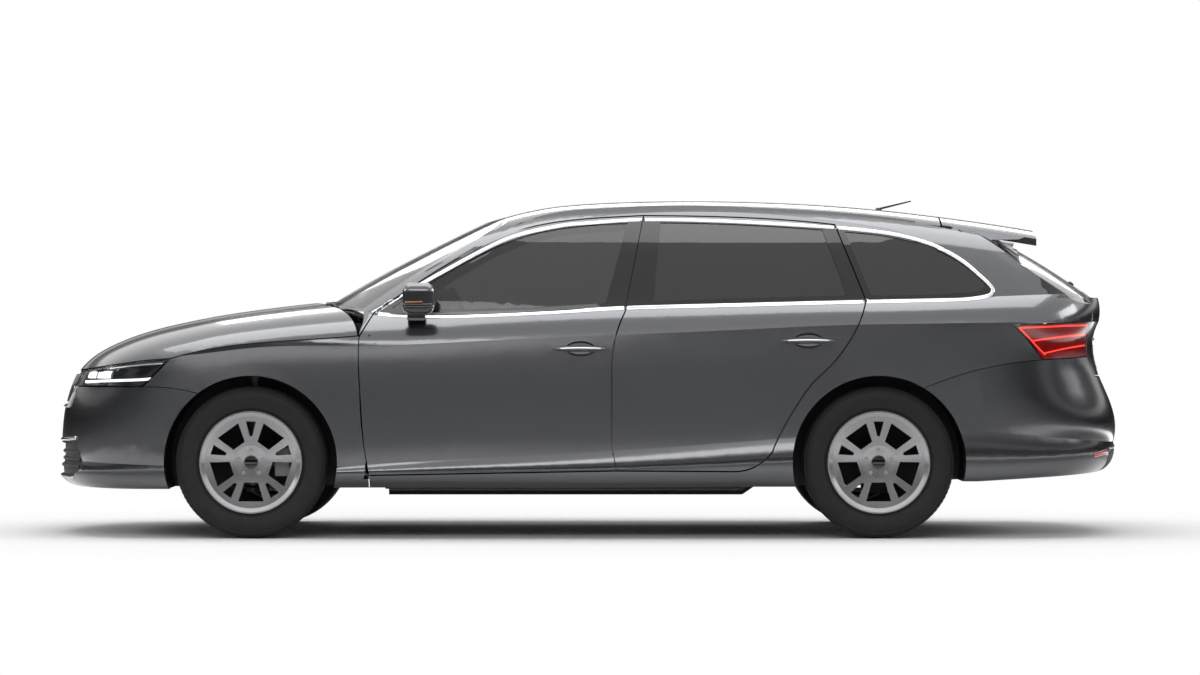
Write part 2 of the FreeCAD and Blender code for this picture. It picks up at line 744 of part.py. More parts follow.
def bonnet_slab(side_gap, nose_gap, near, far):
    """The bonnet between two depths below its skin, with gaps to the wings and lamps and to the nose."""
    side = side_prism(offset(bonnet_side, -side_gap), -SIDE_OUT, SIDE_OUT)
    plan = plan_prism(bonnet_plan(-half_gap, nose_gap), 0, REACH)
    return slab(bonnet_skin.common(plan).common(side).Faces[0], near, far, V(0, 0, -1))


bonnet_gap = size("shut_gap") - panel_gap
bonnet = bonnet_slab(bonnet_gap, size("shut_gap"), 0, size("bonnet_thickness"))
BONNET_HINGE = (along(-980), up(905))
BONNET_LUG = drawn([
    [(-1095, 945), (-1095, 912)],
    [(-1095, 912), (-1000, 912)],
    [(-1000, 912), (-996, 893)],
    [(-996, 893), (-968, 893)],
    [(-968, 893), (-968, 922)],
    [(-968, 922), (-1060, 922)],
    [(-1060, 922), (-1060, 945)],
    [(-1060, 945), (-1095, 945)],
])
LUG_IN = 728
lug_bore = Part.makeCylinder(PIN_ROOM, 40, V(LUG_IN - 10, *BONNET_HINGE), V(1, 0, 0))
lug = side_prism(BONNET_LUG, LUG_IN, LUG_IN + 8).cut(lug_bore)
feature("bonnet", fuse([bonnet, lug, mirrored(lug)]))
bonnet_room = bonnet_slab(0, 0, -size("shut_gap"), size("bonnet_thickness") + size("shut_gap"))

# Front wings
wing = side_prism(offset(WING, -panel_gap), SIDE_IN, SIDE_OUT).cut(front_arch)
wing = wing.common(outer_core).cut(inner_core).cut(bonnet_room)
wing = wing.cut(sweep_room(FRONT_HINGE, FRONT_SWEEP))
feature("front_wings", both_sides(fuse(wing.Solids)))

# Roof panel, with its front edge on the windscreen and its rear edge at the tailgate
roof_half = across(size("roof_half_width"))
roof_plan = box(-roof_half, roof_half, along(-700), along(ROOF_REAR) - half_gap, 0, REACH)
roof = slab(roof_skin.common(roof_plan).Faces[0], 0, size("roof_thickness"), V(0, 0, -1))
ahead_of_glass = ahead_of_screen.copy()
ahead_of_glass.translate(INTO_SCREEN * (glass_back + size("seat_gap")))
TAILGATE_HINGE = (along(1571), up(1385))
HINGE_PLACES = (-200, 200)
roof_pieces = roof.cut(ahead_of_glass).Solids
HINGE_DROP = 45
for x in HINGE_PLACES:
    y, z = TAILGATE_HINGE
    roof_pieces.append(box(x - 7, x + 7, y - PIN, y + PIN, z - HINGE_DROP, z))
    roof_pieces.append(box(x - 7, x + 7, y - 70, y + PIN, z - HINGE_DROP, z - HINGE_DROP + 12))
    roof_pieces.append(box(x - 7, x + 7, y - 70, y - 50, z - HINGE_DROP, z - 5))
    roof_pieces.append(Part.makeCylinder(PIN, 44, V(x - 22, y, z), V(1, 0, 0)))
feature("roof_panel", fuse(roof_pieces))

# Windscreen
screen_blank = rear_prism(front_view(SCREEN_OUTLINE), -REACH, REACH)
screen_face = screen_skin.common(screen_blank).Faces[0]
windscreen = slab(screen_face, GLASS_SUNK, glass_back, INTO_SCREEN).cut(above_roof)
feature("windscreen", fuse(windscreen.Solids))

# Cowl between the bonnet and the windscreen
COWL_DROP = 40
cowl_plan = plan_prism(bonnet_plan(250), 0, REACH).cut(plan_prism(bonnet_plan(-30), -1, REACH + 1))
cowl_plan = cowl_plan.common(box(-across(700), across(700), along(-1300), along(-940), 0, REACH))
cowl_face = bonnet_skin.common(cowl_plan).Faces[0]
cowl = slab(cowl_face, COWL_DROP, COWL_DROP + 8, V(0, 0, -1)).common(ahead_of_screen)
SCUTTLE_TOP = up(870)
posts = []
for x, y, top in ((-600, -1115, 942), (0, -1210, 970), (600, -1115, 942)):
    x, y = across(x), along(y)
    posts.append(box(x - 12, x + 12, y - 8, y + 8, SCUTTLE_TOP + size("seat_gap"), up(top)))
feature("cowl", fuse(cowl.Solids + posts))

# Front bumper, with its grille openings, the grille and the headlamps
nose_outer = nose_core()
nose_inner = nose_core(size("bumper_depth"))
GRILLE_HALF = 478
GRILLE_OPENING = front_view(polygon((-GRILLE_HALF, 800), (-GRILLE_HALF, 620), (-420, 566),
                                    (420, 566), (GRILLE_HALF, 620), (GRILLE_HALF, 800)))
INTAKE_OPENING = front_view(polygon((-600, 398), (-660, 300), (-560, 258),
                                    (560, 258), (660, 300), (600, 398)))
bumper = side_prism(offset(FRONT_BUMPER, -panel_gap), -SIDE_OUT, SIDE_OUT).common(nose_outer)
bumper = bumper.cut([nose_inner, front_arch, mirrored(front_arch)])
nose_end = along(-1900)
bumper = bumper.cut([rear_prism(opening, -REACH, nose_end) for opening in (GRILLE_OPENING, INTAKE_OPENING)])
feature("front_bumper", fuse(bumper.Solids))

GRILLE_SET_BACK = 14
GRILLE_WALL = 14
gap = size("seat_gap")
grille_front = nose_core(GRILLE_SET_BACK)
grille_back = nose_core(GRILLE_SET_BACK + GRILLE_WALL)
grille_side = drawn(polygon((-2420, 708), (-2420, 560), (-2000, 560), (-2000, 708)))
grille_side = side_prism(grille_side, -SIDE_OUT, SIDE_OUT)
upper_grille = rear_prism(offset(GRILLE_OPENING, -gap), -REACH, nose_end).common(grille_side)
lower_grille = rear_prism(offset(INTAKE_OPENING, -gap), -REACH, nose_end)
grille = fuse([upper_grille, lower_grille]).common(grille_front).cut(grille_back).cut(bonnet_room)
feature("front_grille", grille)

lamp_side = side_prism(offset(HEADLAMP, -panel_gap), across(GRILLE_HALF) + panel_gap, SIDE_OUT)
lamp = lamp_side.common(nose_outer).cut(nose_inner).cut(bonnet_room)
feature("headlamps", both_sides(lamp))

# Rear bumper, tail lamps and tailgate
tail_outer = tail_core()
tail_inner = tail_core(size("bumper_depth"))
rear_bumper = side_prism(offset(REAR_BUMPER, -panel_gap), -SIDE_OUT, SIDE_OUT).common(tail_outer)
rear_bumper = rear_bumper.cut([tail_inner, rear_arch, mirrored(rear_arch), tailgate_cut])
feature("rear_bumper", fuse(rear_bumper.Solids))

tail_lamp = side_prism(offset(TAIL_LAMP, -panel_gap), across(400), SIDE_OUT).common(tail_outer)
tail_lamp = tail_lamp.cut([tail_inner, tailgate_cut])
feature("tail_lamps", both_sides(fuse(tail_lamp.Solids)))

below_glass = box(-REACH, REACH, along(1900), REACH, 0, up(1034))
tailgate_blank = rear_prism(offset(TAILGATE, -half_gap), along(1500), REACH)
tailgate_lower = tailgate_blank.common(below_glass).common(tail_outer).cut(tail_inner)
frame_blank = tailgate_blank.common(box(-REACH, REACH, along(1500), REACH, up(1030), REACH))
rear_pane = front_view(polygon((-505, 1062), (505, 1062), (512, 1190),
                               (490, 1246), (-490, 1246), (-512, 1190)))
tailgate_frame = slab(tail_glass_skin, 0, 40, INTO_TAIL).common(frame_blank)
tailgate_frame = tailgate_frame.cut([rear_prism(rear_pane, along(1500), REACH), above_roof])
SPOILER_HALF = 560
spoiler_half = across(SPOILER_HALF)
SPOILER_GAP = 5
spoiler_plan = box(-spoiler_half, spoiler_half, along(ROOF_REAR) + SPOILER_GAP, along(1951), 0, REACH)
spoiler = slab(roof_skin.common(spoiler_plan).Faces[0], 0, 30, V(0, 0, -1))
hinge_rooms = []
for x in HINGE_PLACES:
    y, z = TAILGATE_HINGE
    hinge_rooms.append(box(x - 11, x + 11, y - 60, y + 24, 0, z + PIN + 0.5))
    hinge_rooms.append(Part.makeCylinder(PIN_ROOM, 56, V(x - 28, y, z), V(1, 0, 0)))
SPOILER_SIDE = drawn(polygon((1541, 1420), (1541, 1362), (1692, 1284), (1872, 1286), (1951, 1316),
                             (1951, 1420)))
spoiler_side = side_prism(SPOILER_SIDE, across(535), across(600)).common(tailgate_blank).cut(above_roof)
spoiler_sides = [*spoiler_side.Solids, *mirrored(spoiler_side).Solids]
tailgate = fuse(tailgate_lower.Solids + tailgate_frame.Solids + [spoiler] + spoiler_sides)
feature("tailgate", fuse(tailgate.cut(hinge_rooms).Solids))

rear_pane_prism = rear_prism(offset(rear_pane, -size("seat_gap")), along(1500), REACH)
rear_glass = slab(tail_glass_skin, 3, 3 + size("glass_thickness"), INTO_TAIL).common(rear_pane_prism)
feature("tailgate_glass", fuse(rear_glass.Solids))

# Roof rails, standing a little above the roof, and the aerial
RAIL = drawn([
    [(-236, 1378), (-160, 1398), (-100, 1409), (93, 1423), (245, 1431), (835, 1420), (1270, 1387),
     (1425, 1366)],
    [(1425, 1366), (1425, 1340)],
    [(1425, 1340), (-236, 1340)],
    [(-236, 1340), (-236, 1378)],
])
rail = side_prism(RAIL, across(538), across(566)).cut(under_roof)
feature("roof_rails", both_sides(fuse(rail.Solids)))

# The foot stands square on the roof, where a point above it comes nearest to the skin
above_foot = V(0, along(1310), up(1466) + 60)
foot_point = roof_skin.distToShape(Part.Vertex(above_foot))[1][0][0]
roof_normal = (above_foot - foot_point).normalize()
foot_point += roof_normal * size("seat_gap")
foot = Part.makeCone(18, 9, 14, foot_point, roof_normal)
mast_start = foot_point + roof_normal * 9
mast_line = V(0, along(1446), up(1470.5)) - mast_start
mast = Part.makeCone(5, 3, mast_line.Length, mast_start, mast_line)
feature("aerial", fuse([foot, mast]))

# Structure behind the panels
liner_in = size("arch_liner_inboard")
liner_r = size("arch_radius") + size("arch_liner_gap")
LINER_OUT = 850
LINER_FLOOR = 200
STRUT_HOLE = 45
floor_core = inner_core.copy()
floor_core.translate(V(-size("seat_gap"), 0, 0))


def arch_liner(axle):
    """The shell over one left wheel, closed on its inboard side."""
    centre = V(liner_in, axle, axle_height)
    wall = size("arch_liner_wall")
    shell = Part.makeCylinder(liner_r + wall, LINER_OUT - liner_in, centre, V(1, 0, 0))
    hollow = Part.makeCylinder(liner_r, LINER_OUT, centre + V(wall, 0, 0), V(1, 0, 0))
    return shell.cut(hollow).common(box(0, REACH, -REACH, REACH, LINER_FLOOR, REACH)).common(floor_core)


strut_hole = Part.makeCylinder(STRUT_HOLE, REACH, V(622, front_axle, axle_height + 200))
beam_slot = box(liner_in - 10, liner_in + 10, rear_axle - 50, rear_axle + 50, 0, 262)
liners = [arch_liner(front_axle).cut(strut_hole), arch_liner(rear_axle).cut(beam_slot)]
feature("arch_liners", Part.makeCompound(liners + [mirrored(liner) for liner in liners]))

floor_top = size("floor_height") + size("floor_thickness")
RAIL_IN = size("radiator_width") / 2 + gap
RAIL_LOW = 430
RAIL_HIGH = 530
FIREWALL = along(-1030)
KINGPIN_FOOT = 740
KINGPIN_TOP = 600
tower_low = axle_height + liner_r + size("arch_liner_wall") + gap
TOWER_TOP = 850
RADIATOR_FRONT = along(-2110)
bumper_room = nose_core(size("bumper_depth") + gap)
front_rail = box(RAIL_IN, liner_in - gap, RADIATOR_FRONT, FIREWALL - gap, RAIL_LOW, RAIL_HIGH)
tower = box(RAIL_IN, liner_in - gap, front_axle - 90, front_axle + 90, RAIL_HIGH, TOWER_TOP)
shelf = box(RAIL_IN, KINGPIN_TOP + 80, front_axle - 90, front_axle + 90, tower_low, TOWER_TOP)
cup = Part.makeCylinder(58, REACH, V(KINGPIN_TOP, front_axle, RAIL_HIGH))
cradle_top = size("floor_height") + 100
post = box(RAIL_IN, RAIL_IN + 50, front_axle - 230, front_axle - 170, cradle_top + gap, RAIL_LOW)
beam = box(-450, 450, along(-2300), RADIATOR_FRONT, 440, 540).common(bumper_room)
support = box(-RAIL_IN - 60, RAIL_IN + 60, RADIATOR_FRONT, RADIATOR_FRONT + 50, 270, 660)
support = support.cut(box(-RAIL_IN, RAIL_IN, RADIATOR_FRONT - 1, RADIATOR_FRONT + 51, 310, 620))
lamp_post = box(RAIL_IN, 470, along(-1960), along(-1900), RAIL_HIGH, 700)
lamp_arm = box(RAIL_IN, SIDE_OUT, along(-1960), along(-1900), 660, 700).common(bumper_room)
left_rail = fuse([front_rail, tower, shelf, post, lamp_post, lamp_arm]).cut(cup)
feature("front_structure", fuse([left_rail, mirrored(left_rail), beam, support]))


def block(name, corner_point, **links):
    """A block whose length, width and height follow the sheet."""
    item = doc.addObject("Part::Box", name)
    item.Label = name
    item.Placement.Base = corner_point
    for side, expression in links.items():
        item.setExpression(side, expression)
    nodes.append(item)


block("radiator", V(-size("radiator_width") / 2, RADIATOR_FRONT + 5, 310 + gap),
      Length="sizes.radiator_width", Width="sizes.radiator_depth", Height="sizes.radiator_height")
block("engine_block", V(-330, front_axle - 390, cradle_top + gap),
      Length="sizes.engine_width", Width="sizes.engine_depth", Height="sizes.engine_height")

ARM_TOP = 214
ARM_TIP = 28
cradle_half = RAIL_IN + 50
cradle_low = size("floor_height")
cradle = box(-cradle_half, cradle_half, front_axle - 240, front_axle + 150, cradle_low, cradle_top)
arm_front = (KINGPIN_FOOT, front_axle - ARM_TIP)
arm_rear = (KINGPIN_FOOT, front_axle + ARM_TIP)
arm_tip = (KINGPIN_FOOT + ARM_TIP, front_axle)
arm_root = [(430, front_axle + 60), (430, front_axle - 50)]
arm_outline = [[arm_root[1], arm_front], [arm_front, arm_tip, arm_rear], [arm_rear, arm_root[0]], arm_root]
arm = plan_prism(arm_outline, ARM_TOP - 18, ARM_TOP)
feature("front_subframe", fuse([cradle, arm, mirrored(arm)]))

# Floor: firewall, toe board, cabin floor, seat step and load floor in one stepped plate
FLOOR_LINE = ((-880, 200), (640, 200), (760, 330), (1060, 330), (1140, 480), (2170, 480))
FIREWALL_LINE = ((-1030, 905), (-1030, 420))
thick = size("floor_thickness")
lower_line = [(along(y), z) for y, z in FIREWALL_LINE + FLOOR_LINE]
upper_line = [(along(y) + thick, z) for y, z in FIREWALL_LINE]
upper_line += [(along(y), z + thick) for y, z in FLOOR_LINE]
floor = side_prism(polygon(*(lower_line + upper_line[::-1])), -REACH, REACH)
cabin_half = 500
middle = floor.common(box(-cabin_half, cabin_half, -REACH, REACH, 0, REACH))
outboard = floor.common(box(cabin_half, REACH, -REACH, along(1990), 0, REACH)).common(floor_core)
wheel_room = box(liner_in - gap, REACH, rear_axle - liner_r - 6, rear_axle + liner_r + 6, 0, REACH)
outboard = outboard.cut([wheel_room, arch(front_axle, 12)])
middle = middle.cut([wheel_room, mirrored(wheel_room)])
rear_beam = box(-480, 480, along(2100), along(2330), 420, 490).common(tail_core(size("bumper_depth") + gap))
scuttle = box(-cabin_half, cabin_half, along(-1240), along(-1020), SCUTTLE_TOP - 20, SCUTTLE_TOP)
bracket = box(LUG_IN - 16, LUG_IN - 6, along(-1020), along(-970), up(880), up(915))
bracket = bracket.fuse(Part.makeCylinder(PIN, 30, V(LUG_IN - 16, *BONNET_HINGE), V(1, 0, 0)))
floor_pieces = [middle, rear_beam, scuttle, bracket, mirrored(bracket)]
floor = fuse(floor_pieces + outboard.Solids + mirrored(outboard).Solids)
feature("floor_pan", floor)

# Rear axle with trailing arms, springs and hub spindles
BEAM_RADIUS = 30
BEAM_HEIGHT = 225
hub_x = size("track_rear") / 2
MOUNT_OFFSET = 46


def stub(start, x, axle):
    """A spindle from its carrier into the bore of a left wheel."""
    radius = size("hub_bore") / 2 - gap
    return Part.makeCylinder(radius, x + MOUNT_OFFSET - start, V(start, axle, axle_height), V(1, 0, 0))


def rear_half():
    """The left half of the rear axle."""
    half_beam = Part.makeCylinder(BEAM_RADIUS, 560, V(0, rear_axle, BEAM_HEIGHT), V(1, 0, 0))
    carrier = box(560, 600, rear_axle - 60, rear_axle + 60, BEAM_HEIGHT - 40, axle_height + 60)
    trailing = box(380, 440, along(790), rear_axle, 214, 256)
    bracket = box(370, 450, along(770), along(850), 214, 330 - gap)
    spring = Part.makeCylinder(45, 480 - gap - BEAM_HEIGHT, V(410, rear_axle, BEAM_HEIGHT))
    spindle = stub(600, hub_x, rear_axle)
    return fuse([half_beam, carrier, trailing, bracket, spring, spindle])


rear_left = rear_half()
feature("rear_axle", fuse([rear_left, mirrored(rear_left)]))

# Exhaust under the floor, over the rear axle and into its silencer
PIPE_RADIUS = 25
PIPE_LINE = ((-900, 174.6), (690, 174.6), (860, 292), (1700, 292))
PIPE_ROUTE = [V(-200, along(y), z) for y, z in PIPE_LINE]
pipes = [Part.makeCylinder(PIPE_RADIUS, (b - a).Length, a, b - a) for a, b in zip(PIPE_ROUTE, PIPE_ROUTE[1:])]
pipes += [Part.makeSphere(PIPE_RADIUS, point) for point in PIPE_ROUTE[1:-1]]
silencer = box(-480, 60, along(1700), along(2040), 262, 402)
silencer = silencer.makeFillet(50, [e for e in silencer.Edges if abs(e.tangentAt(e.FirstParameter).x) > 0.9])
hanger = box(-230, -210, along(1860), along(1900), 390, 480 - gap)
feature("exhaust", fuse(pipes + [silencer, hanger]))

# Cabin
DASH_FRONT = -1030 + thick + gap
DASH = drawn([
    [(DASH_FRONT, 640), (DASH_FRONT, 905)],
    [(DASH_FRONT, 905), (-900, 950), (-760, 945), (-680, 900)],
    [(-680, 900), (-690, 780), (-760, 690)],
    [(-760, 690), (DASH_FRONT, 640)],
])
DASH_HALF = 640
feature("dashboard", side_prism(DASH, -DASH_HALF, DASH_HALF))

WHEEL_CENTRE = V(370, along(-520), 900)
COLUMN = V(0, -0.9, -0.42)
rim_ring = Part.makeTorus(180, 15, WHEEL_CENTRE, COLUMN)
boss = Part.makeCylinder(62, 60, WHEEL_CENTRE, COLUMN)
cross = box(-175, 175, -9, 9, -22, 22)
cross.rotate(V(0, 0, 0), V(1, 0, 0), -25)
cross.translate(WHEEL_CENTRE + COLUMN * 14)
column = Part.makeCylinder(26, 260, WHEEL_CENTRE, COLUMN)
feature("steering_wheel", fuse([rim_ring, boss, cross, column]).cut(side_prism(DASH, -DASH_HALF, DASH_HALF)))


def seat(x0, x1, cushion_y, back_y, floor_z, height, lean):
    """A cushion, a leaning back and a headrest as one closed solid."""
    cushion = box(x0, x1, cushion_y, back_y + 60, floor_z + 110, floor_z + 260)
    cushion = cushion.makeFillet(40, cushion.Edges)
    base = box(x0 + 60, x1 - 60, cushion_y + 60, back_y - 40, floor_z, floor_z + 130)
    rest = box(x0, x1, back_y, back_y + 110, floor_z + 190, floor_z + height)
    rest = rest.makeFillet(40, rest.Edges)
    middle_x = (x0 + x1) / 2
    top = floor_z + height
    head = box(middle_x - 120, middle_x + 120, back_y + 15, back_y + 100, top - 20, top + 150)
    head = head.makeFillet(30, head.Edges)
    back = fuse([rest, head])
    back.rotate(V(0, back_y, floor_z + 190), V(1, 0, 0), -lean)
    return fuse([base, cushion, back])


driver = seat(125, 615, along(-330), along(110), floor_top + gap, 780, 16)
feature("front_seats", both_sides(driver))
bench = seat(-640, 640, along(600), along(905), 330 + thick + gap, 610, 14)
arch_room = Part.makeCylinder(liner_r + 10, REACH, V(liner_in - 5, rear_axle, axle_height), V(1, 0, 0))
bench = bench.cut([arch_room, mirrored(arch_room)])
feature("rear_bench", bench)


# Wheels: revolved and pocketed bodies, each about its own axle


def plane(body, role):
    """One of a body's own origin planes or axes."""
    return [f for f in body.Origin.OriginFeatures if f.Role == role][0]


def sketch_on(body, role, name):
    """A new sketch on one of the body's origin planes."""
    sketch = body.newObject("Sketcher::SketchObject", name)
    sketch.AttachmentSupport = [(plane(body, role), "")]
    sketch.MapMode = "FlatFace"
    return sketch


def draw(sketch, points):
    """A closed line through points of the sketch."""
    for a, b in zip(points, points[1:] + points[:1]):
        sketch.addGeometry(Part.LineSegment(V(*a, 0), V(*b, 0)), False)


RIM_HALF = 98
SEAT_RADIUS = size("rim_diameter") / 2 - size("rim_lip") - 4


def tyre(name):
    """A tyre: bead, bulging side wall, shoulder and crowned tread, turned about the axle."""
    body = doc.addObject("PartDesign::Body", name)
    body.Label = name
    section = sketch_on(body, "XY_Plane", name + "_section")
    outer = axle_height
    half = size("tyre_width") / 2
    bead = SEAT_RADIUS + gap
    lip = size("rim_diameter") / 2
    wall = [(84, bead), (86, lip), (96, lip + 12), (half, (bead + outer) / 2),
            (half - 6, outer - 22), (half - 20, outer - 6), (0, outer)]
    draw(section, [(x, r) for x, r in wall] + [(-x, r) for x, r in reversed(wall[:-1])])
    turned = body.newObject("PartDesign::Revolution", name + "_turned")
    turned.Profile = section
    turned.ReferenceAxis = (section, ["H_Axis"])
    turned.Angle = 360
    return body


SPOKE_PAIRS = 5
DISC_IN = 2
DISC_HALF = size("disc_diameter") / 2


def rim(name):
    """A rim with its brake disc: barrel, dished face, spoke windows, bore and bolt holes."""
    body = doc.addObject("PartDesign::Body", name)
    body.Label = name
    section = sketch_on(body, "XY_Plane", name + "_section")
    lip = size("rim_diameter") / 2
    seat_r = SEAT_RADIUS
    bore = size("hub_bore") / 2
    offset_x = MOUNT_OFFSET
    disc_x = DISC_IN
    draw(section, [
        (RIM_HALF, lip), (RIM_HALF - 8, lip), (RIM_HALF - 10, seat_r), (58, seat_r), (36, seat_r - 16),
        (-50, seat_r - 16), (-66, seat_r), (10 - RIM_HALF, seat_r), (8 - RIM_HALF, lip), (-RIM_HALF, lip),
        (-RIM_HALF, lip - 10), (-70, seat_r - 8), (-50, seat_r - 24), (44, seat_r - 24), (46, seat_r - 28),
        (offset_x + 4, 84), (offset_x, 78), (disc_x + size("disc_thickness"), 78),
        (disc_x + size("disc_thickness"), DISC_HALF), (disc_x, DISC_HALF), (disc_x, 74), (offset_x - 8, 72),
        (offset_x - 8, bore), (offset_x + 24, bore), (offset_x + 26, 72), (offset_x + 28, 92),
        (84, seat_r - 26), (86, seat_r - 8), (RIM_HALF, lip - 6),
    ])
    turned = body.newObject("PartDesign::Revolution", name + "_turned")
    turned.Profile = section
    turned.ReferenceAxis = (section, ["H_Axis"])
    turned.Angle = 360
    body.Tip = turned

    def windows(tag, first, half_in, half_out, low, high):
        """A pocket between spokes, repeated round the axle."""
        cut = sketch_on(body, "YZ_Plane", name + "_" + tag)
        corners = []
        for radius, angle in ((low, -half_in), (high, -half_out), (high, half_out), (low, half_in)):
            turn = math.radians(first + angle)
            corners.append((radius * math.cos(turn), radius * math.sin(turn)))
        draw(cut, corners)
        pocket = body.newObject("PartDesign::Pocket", name + "_" + tag + "_pocket")
        pocket.Profile = cut
        pocket.Length = RIM_HALF
        pocket.Reversed = True
        pattern = body.newObject("PartDesign::PolarPattern", name + "_" + tag + "_pattern")
        pattern.Originals = [pocket]
        pattern.Axis = (cut, ["N_Axis"])
        pattern.Angle = 360
        pattern.Occurrences = SPOKE_PAIRS
        body.Tip = pattern

    windows("wide", 90 + 36, 19, 18, 92, seat_r - 29)
    windows("narrow", 90, 3, 7, 112, seat_r - 29)
    holes = sketch_on(body, "YZ_Plane", name + "_bolts")
    holes.addGeometry(Part.Circle(V(0, size("bolt_circle") / 2, 0), V(0, 0, 1), size("bolt_bore") / 2), False)
    hole = body.newObject("PartDesign::Pocket", name + "_bolt_hole")
    hole.Profile = holes
    hole.Length = RIM_HALF
    hole.Reversed = True
    ring = body.newObject("PartDesign::PolarPattern", name + "_bolt_holes")
    ring.Originals = [hole]
    ring.Axis = (holes, ["N_Axis"])
    ring.Angle = 360
    ring.Occurrences = 5
    body.Tip = ring
    return body


tracks = {"front": (size("track_front") / 2, front_axle), "rear": (size("track_rear") / 2, rear_axle)}
for end, (half_track, axle) in tracks.items():
    for side, sign in (("left", 1), ("right", -1)):
        turn = FreeCAD.Rotation(V(0, 0, 1), 0 if sign > 0 else 180)
        for maker, kind in ((tyre, "tyre"), (rim, "rim")):
            wheel = maker("%s_%s_%s" % (kind, end, side))
            wheel.Placement = FreeCAD.Placement(V(sign * half_track, axle, axle_height), turn)
            nodes.append(wheel)

# Steering knuckles, each turning about its kingpin, with the brake caliper and the strut


def caliper(x, axle, ear_in):
    """A brake caliper behind the axle, round the disc of a left wheel, and the ear that holds it."""
    ear = box(ear_in, x - 20, axle + 40, axle + 130, axle_height - 20, axle_height + 40)
    jaw = box(x - 40, x + 40, axle + 100, axle + 162, axle_height - 60, axle_height + 60)
    slot_in = V(x + DISC_IN - 5, axle, axle_height)
    slot = Part.makeCylinder(DISC_HALF + 5, size("disc_thickness") + 10, slot_in, V(1, 0, 0))
    return fuse([ear, jaw.cut(slot)])


KINGPIN_LOW = 190
BALL = 20


def kingpin_at(level):
    """Place across the car of the leaning kingpin line at a height."""
    return KINGPIN_FOOT + (KINGPIN_TOP - KINGPIN_FOOT) * (level - KINGPIN_LOW) / (TOWER_TOP - KINGPIN_LOW)


def knuckle():
    """The left knuckle: ball joint and its boss, upright, spindle, caliper and strut."""
    x = size("track_front") / 2
    ball_level = ARM_TOP + gap + BALL
    ball = Part.makeSphere(BALL, V(kingpin_at(ball_level), front_axle, ball_level))
    boss = Part.makeCylinder(26, 48, V(KINGPIN_FOOT, front_axle, ARM_TOP + 12))
    upright = box(700, 730, front_axle - 45, front_axle + 45, ARM_TOP + 20, axle_height + 70)
    spindle = stub(700, x, front_axle)
    strut_low = V(655, front_axle, axle_height + 54)
    strut_high = V(KINGPIN_TOP, front_axle, TOWER_TOP - 10)
    strut = Part.makeCylinder(22, (strut_high - strut_low).Length, strut_low, strut_high - strut_low)
    bracket = box(640, 715, front_axle - 30, front_axle + 30, axle_height + 20, axle_height + 70)
    return fuse([ball, boss, upright, spindle, strut, bracket, caliper(x, front_axle, 706)])


left_knuckle = knuckle()
feature("knuckle_left", left_knuckle)
feature("knuckle_right", mirrored(left_knuckle))

# Checks, and one file for each sub-part
doc.recompute()
for item in doc.Objects:
    if "Invalid" in item.State or "Error" in item.State:
        raise RuntimeError("%s failed: %s" % (item.Label, item.State))
for node in nodes:
    if node.Shape.isNull() or not node.Shape.isValid():
        raise RuntimeError("%s has no valid shape" % node.Label)
os.makedirs("parts", exist_ok=True)
for node in nodes:
    node.Shape.exportStep("parts/%s.step" % node.Label)
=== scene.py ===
# %% [markdown]
# # A graphite station wagon, dressed for its photograph
# The solids of the car come from the CAD model: skins, doors, glass, wheels and the parts underneath.
# Here they get their finishes, and the thin things that no solid carries: bright strips, handles,
# lamps' insides, wipers, tread and cloth. Everything is in metres, nose towards -Y, ground at z = 0.

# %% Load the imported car
from math import cos, exp, pi, radians, sin

import bmesh
import bpy
from mathutils import Matrix, Vector
from mathutils.bvhtree import BVHTree


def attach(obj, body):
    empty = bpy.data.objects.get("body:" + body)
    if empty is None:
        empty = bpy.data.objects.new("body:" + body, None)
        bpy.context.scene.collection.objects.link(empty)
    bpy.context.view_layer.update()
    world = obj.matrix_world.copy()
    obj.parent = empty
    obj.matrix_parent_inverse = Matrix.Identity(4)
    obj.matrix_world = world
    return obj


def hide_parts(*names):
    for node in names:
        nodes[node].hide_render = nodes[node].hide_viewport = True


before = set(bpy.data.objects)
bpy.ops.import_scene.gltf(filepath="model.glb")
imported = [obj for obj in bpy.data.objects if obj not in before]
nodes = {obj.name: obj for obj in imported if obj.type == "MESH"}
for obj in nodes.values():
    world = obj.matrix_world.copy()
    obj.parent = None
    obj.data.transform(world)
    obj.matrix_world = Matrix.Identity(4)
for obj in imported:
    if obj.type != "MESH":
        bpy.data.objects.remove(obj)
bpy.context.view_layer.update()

scene = bpy.context.scene
print("solids in the car:", len(nodes))

# %% [markdown]
# ## Tools for materials
# Every finish is a Principled BSDF. What changes over a surface, such as flakes, grain or dust, comes
# from small node groups that are built once and placed in each material with its own numbers.

# %% Helpers for node trees
FLOAT, VECTOR = "NodeSocketFloat", "NodeSocketVector"
WHITE = (1.0, 1.0, 1.0, 1.0)


def link(tree, start, end):
    """Joins an output socket to an input socket."""
    tree.links.new(start, end)


def add(tree, kind, inputs=None, **settings):
    """A node with its settings; an input takes a value, or the output socket that feeds it."""
    node = tree.nodes.new(kind)
    for key, value in settings.items():
        setattr(node, key, value)
    for key, value in (inputs or {}).items():
        if isinstance(value, bpy.types.NodeSocket):
            link(tree, value, node.inputs[key])
        else:
            node.inputs[key].default_value = value
    return node


def maths(tree, operation, first, second=0.0, clamp=False):
    """The outcome of a sum or a test on two values or sockets."""
    node = add(tree, "ShaderNodeMath", {0: first, 1: second}, operation=operation, use_clamp=clamp)
    return node.outputs[0]


def ramp(tree, value, start=0.0, end=1.0, low=0.0, high=1.0, smooth=False):
    """Low where the value is at start, high where it is at end."""
    ends = {"From Min": start, "From Max": end, "To Min": low, "To Max": high}
    node = add(tree, "ShaderNodeMapRange", {"Value": value, **ends},
               interpolation_type="SMOOTHSTEP" if smooth else "LINEAR")
    return node.outputs["Result"]


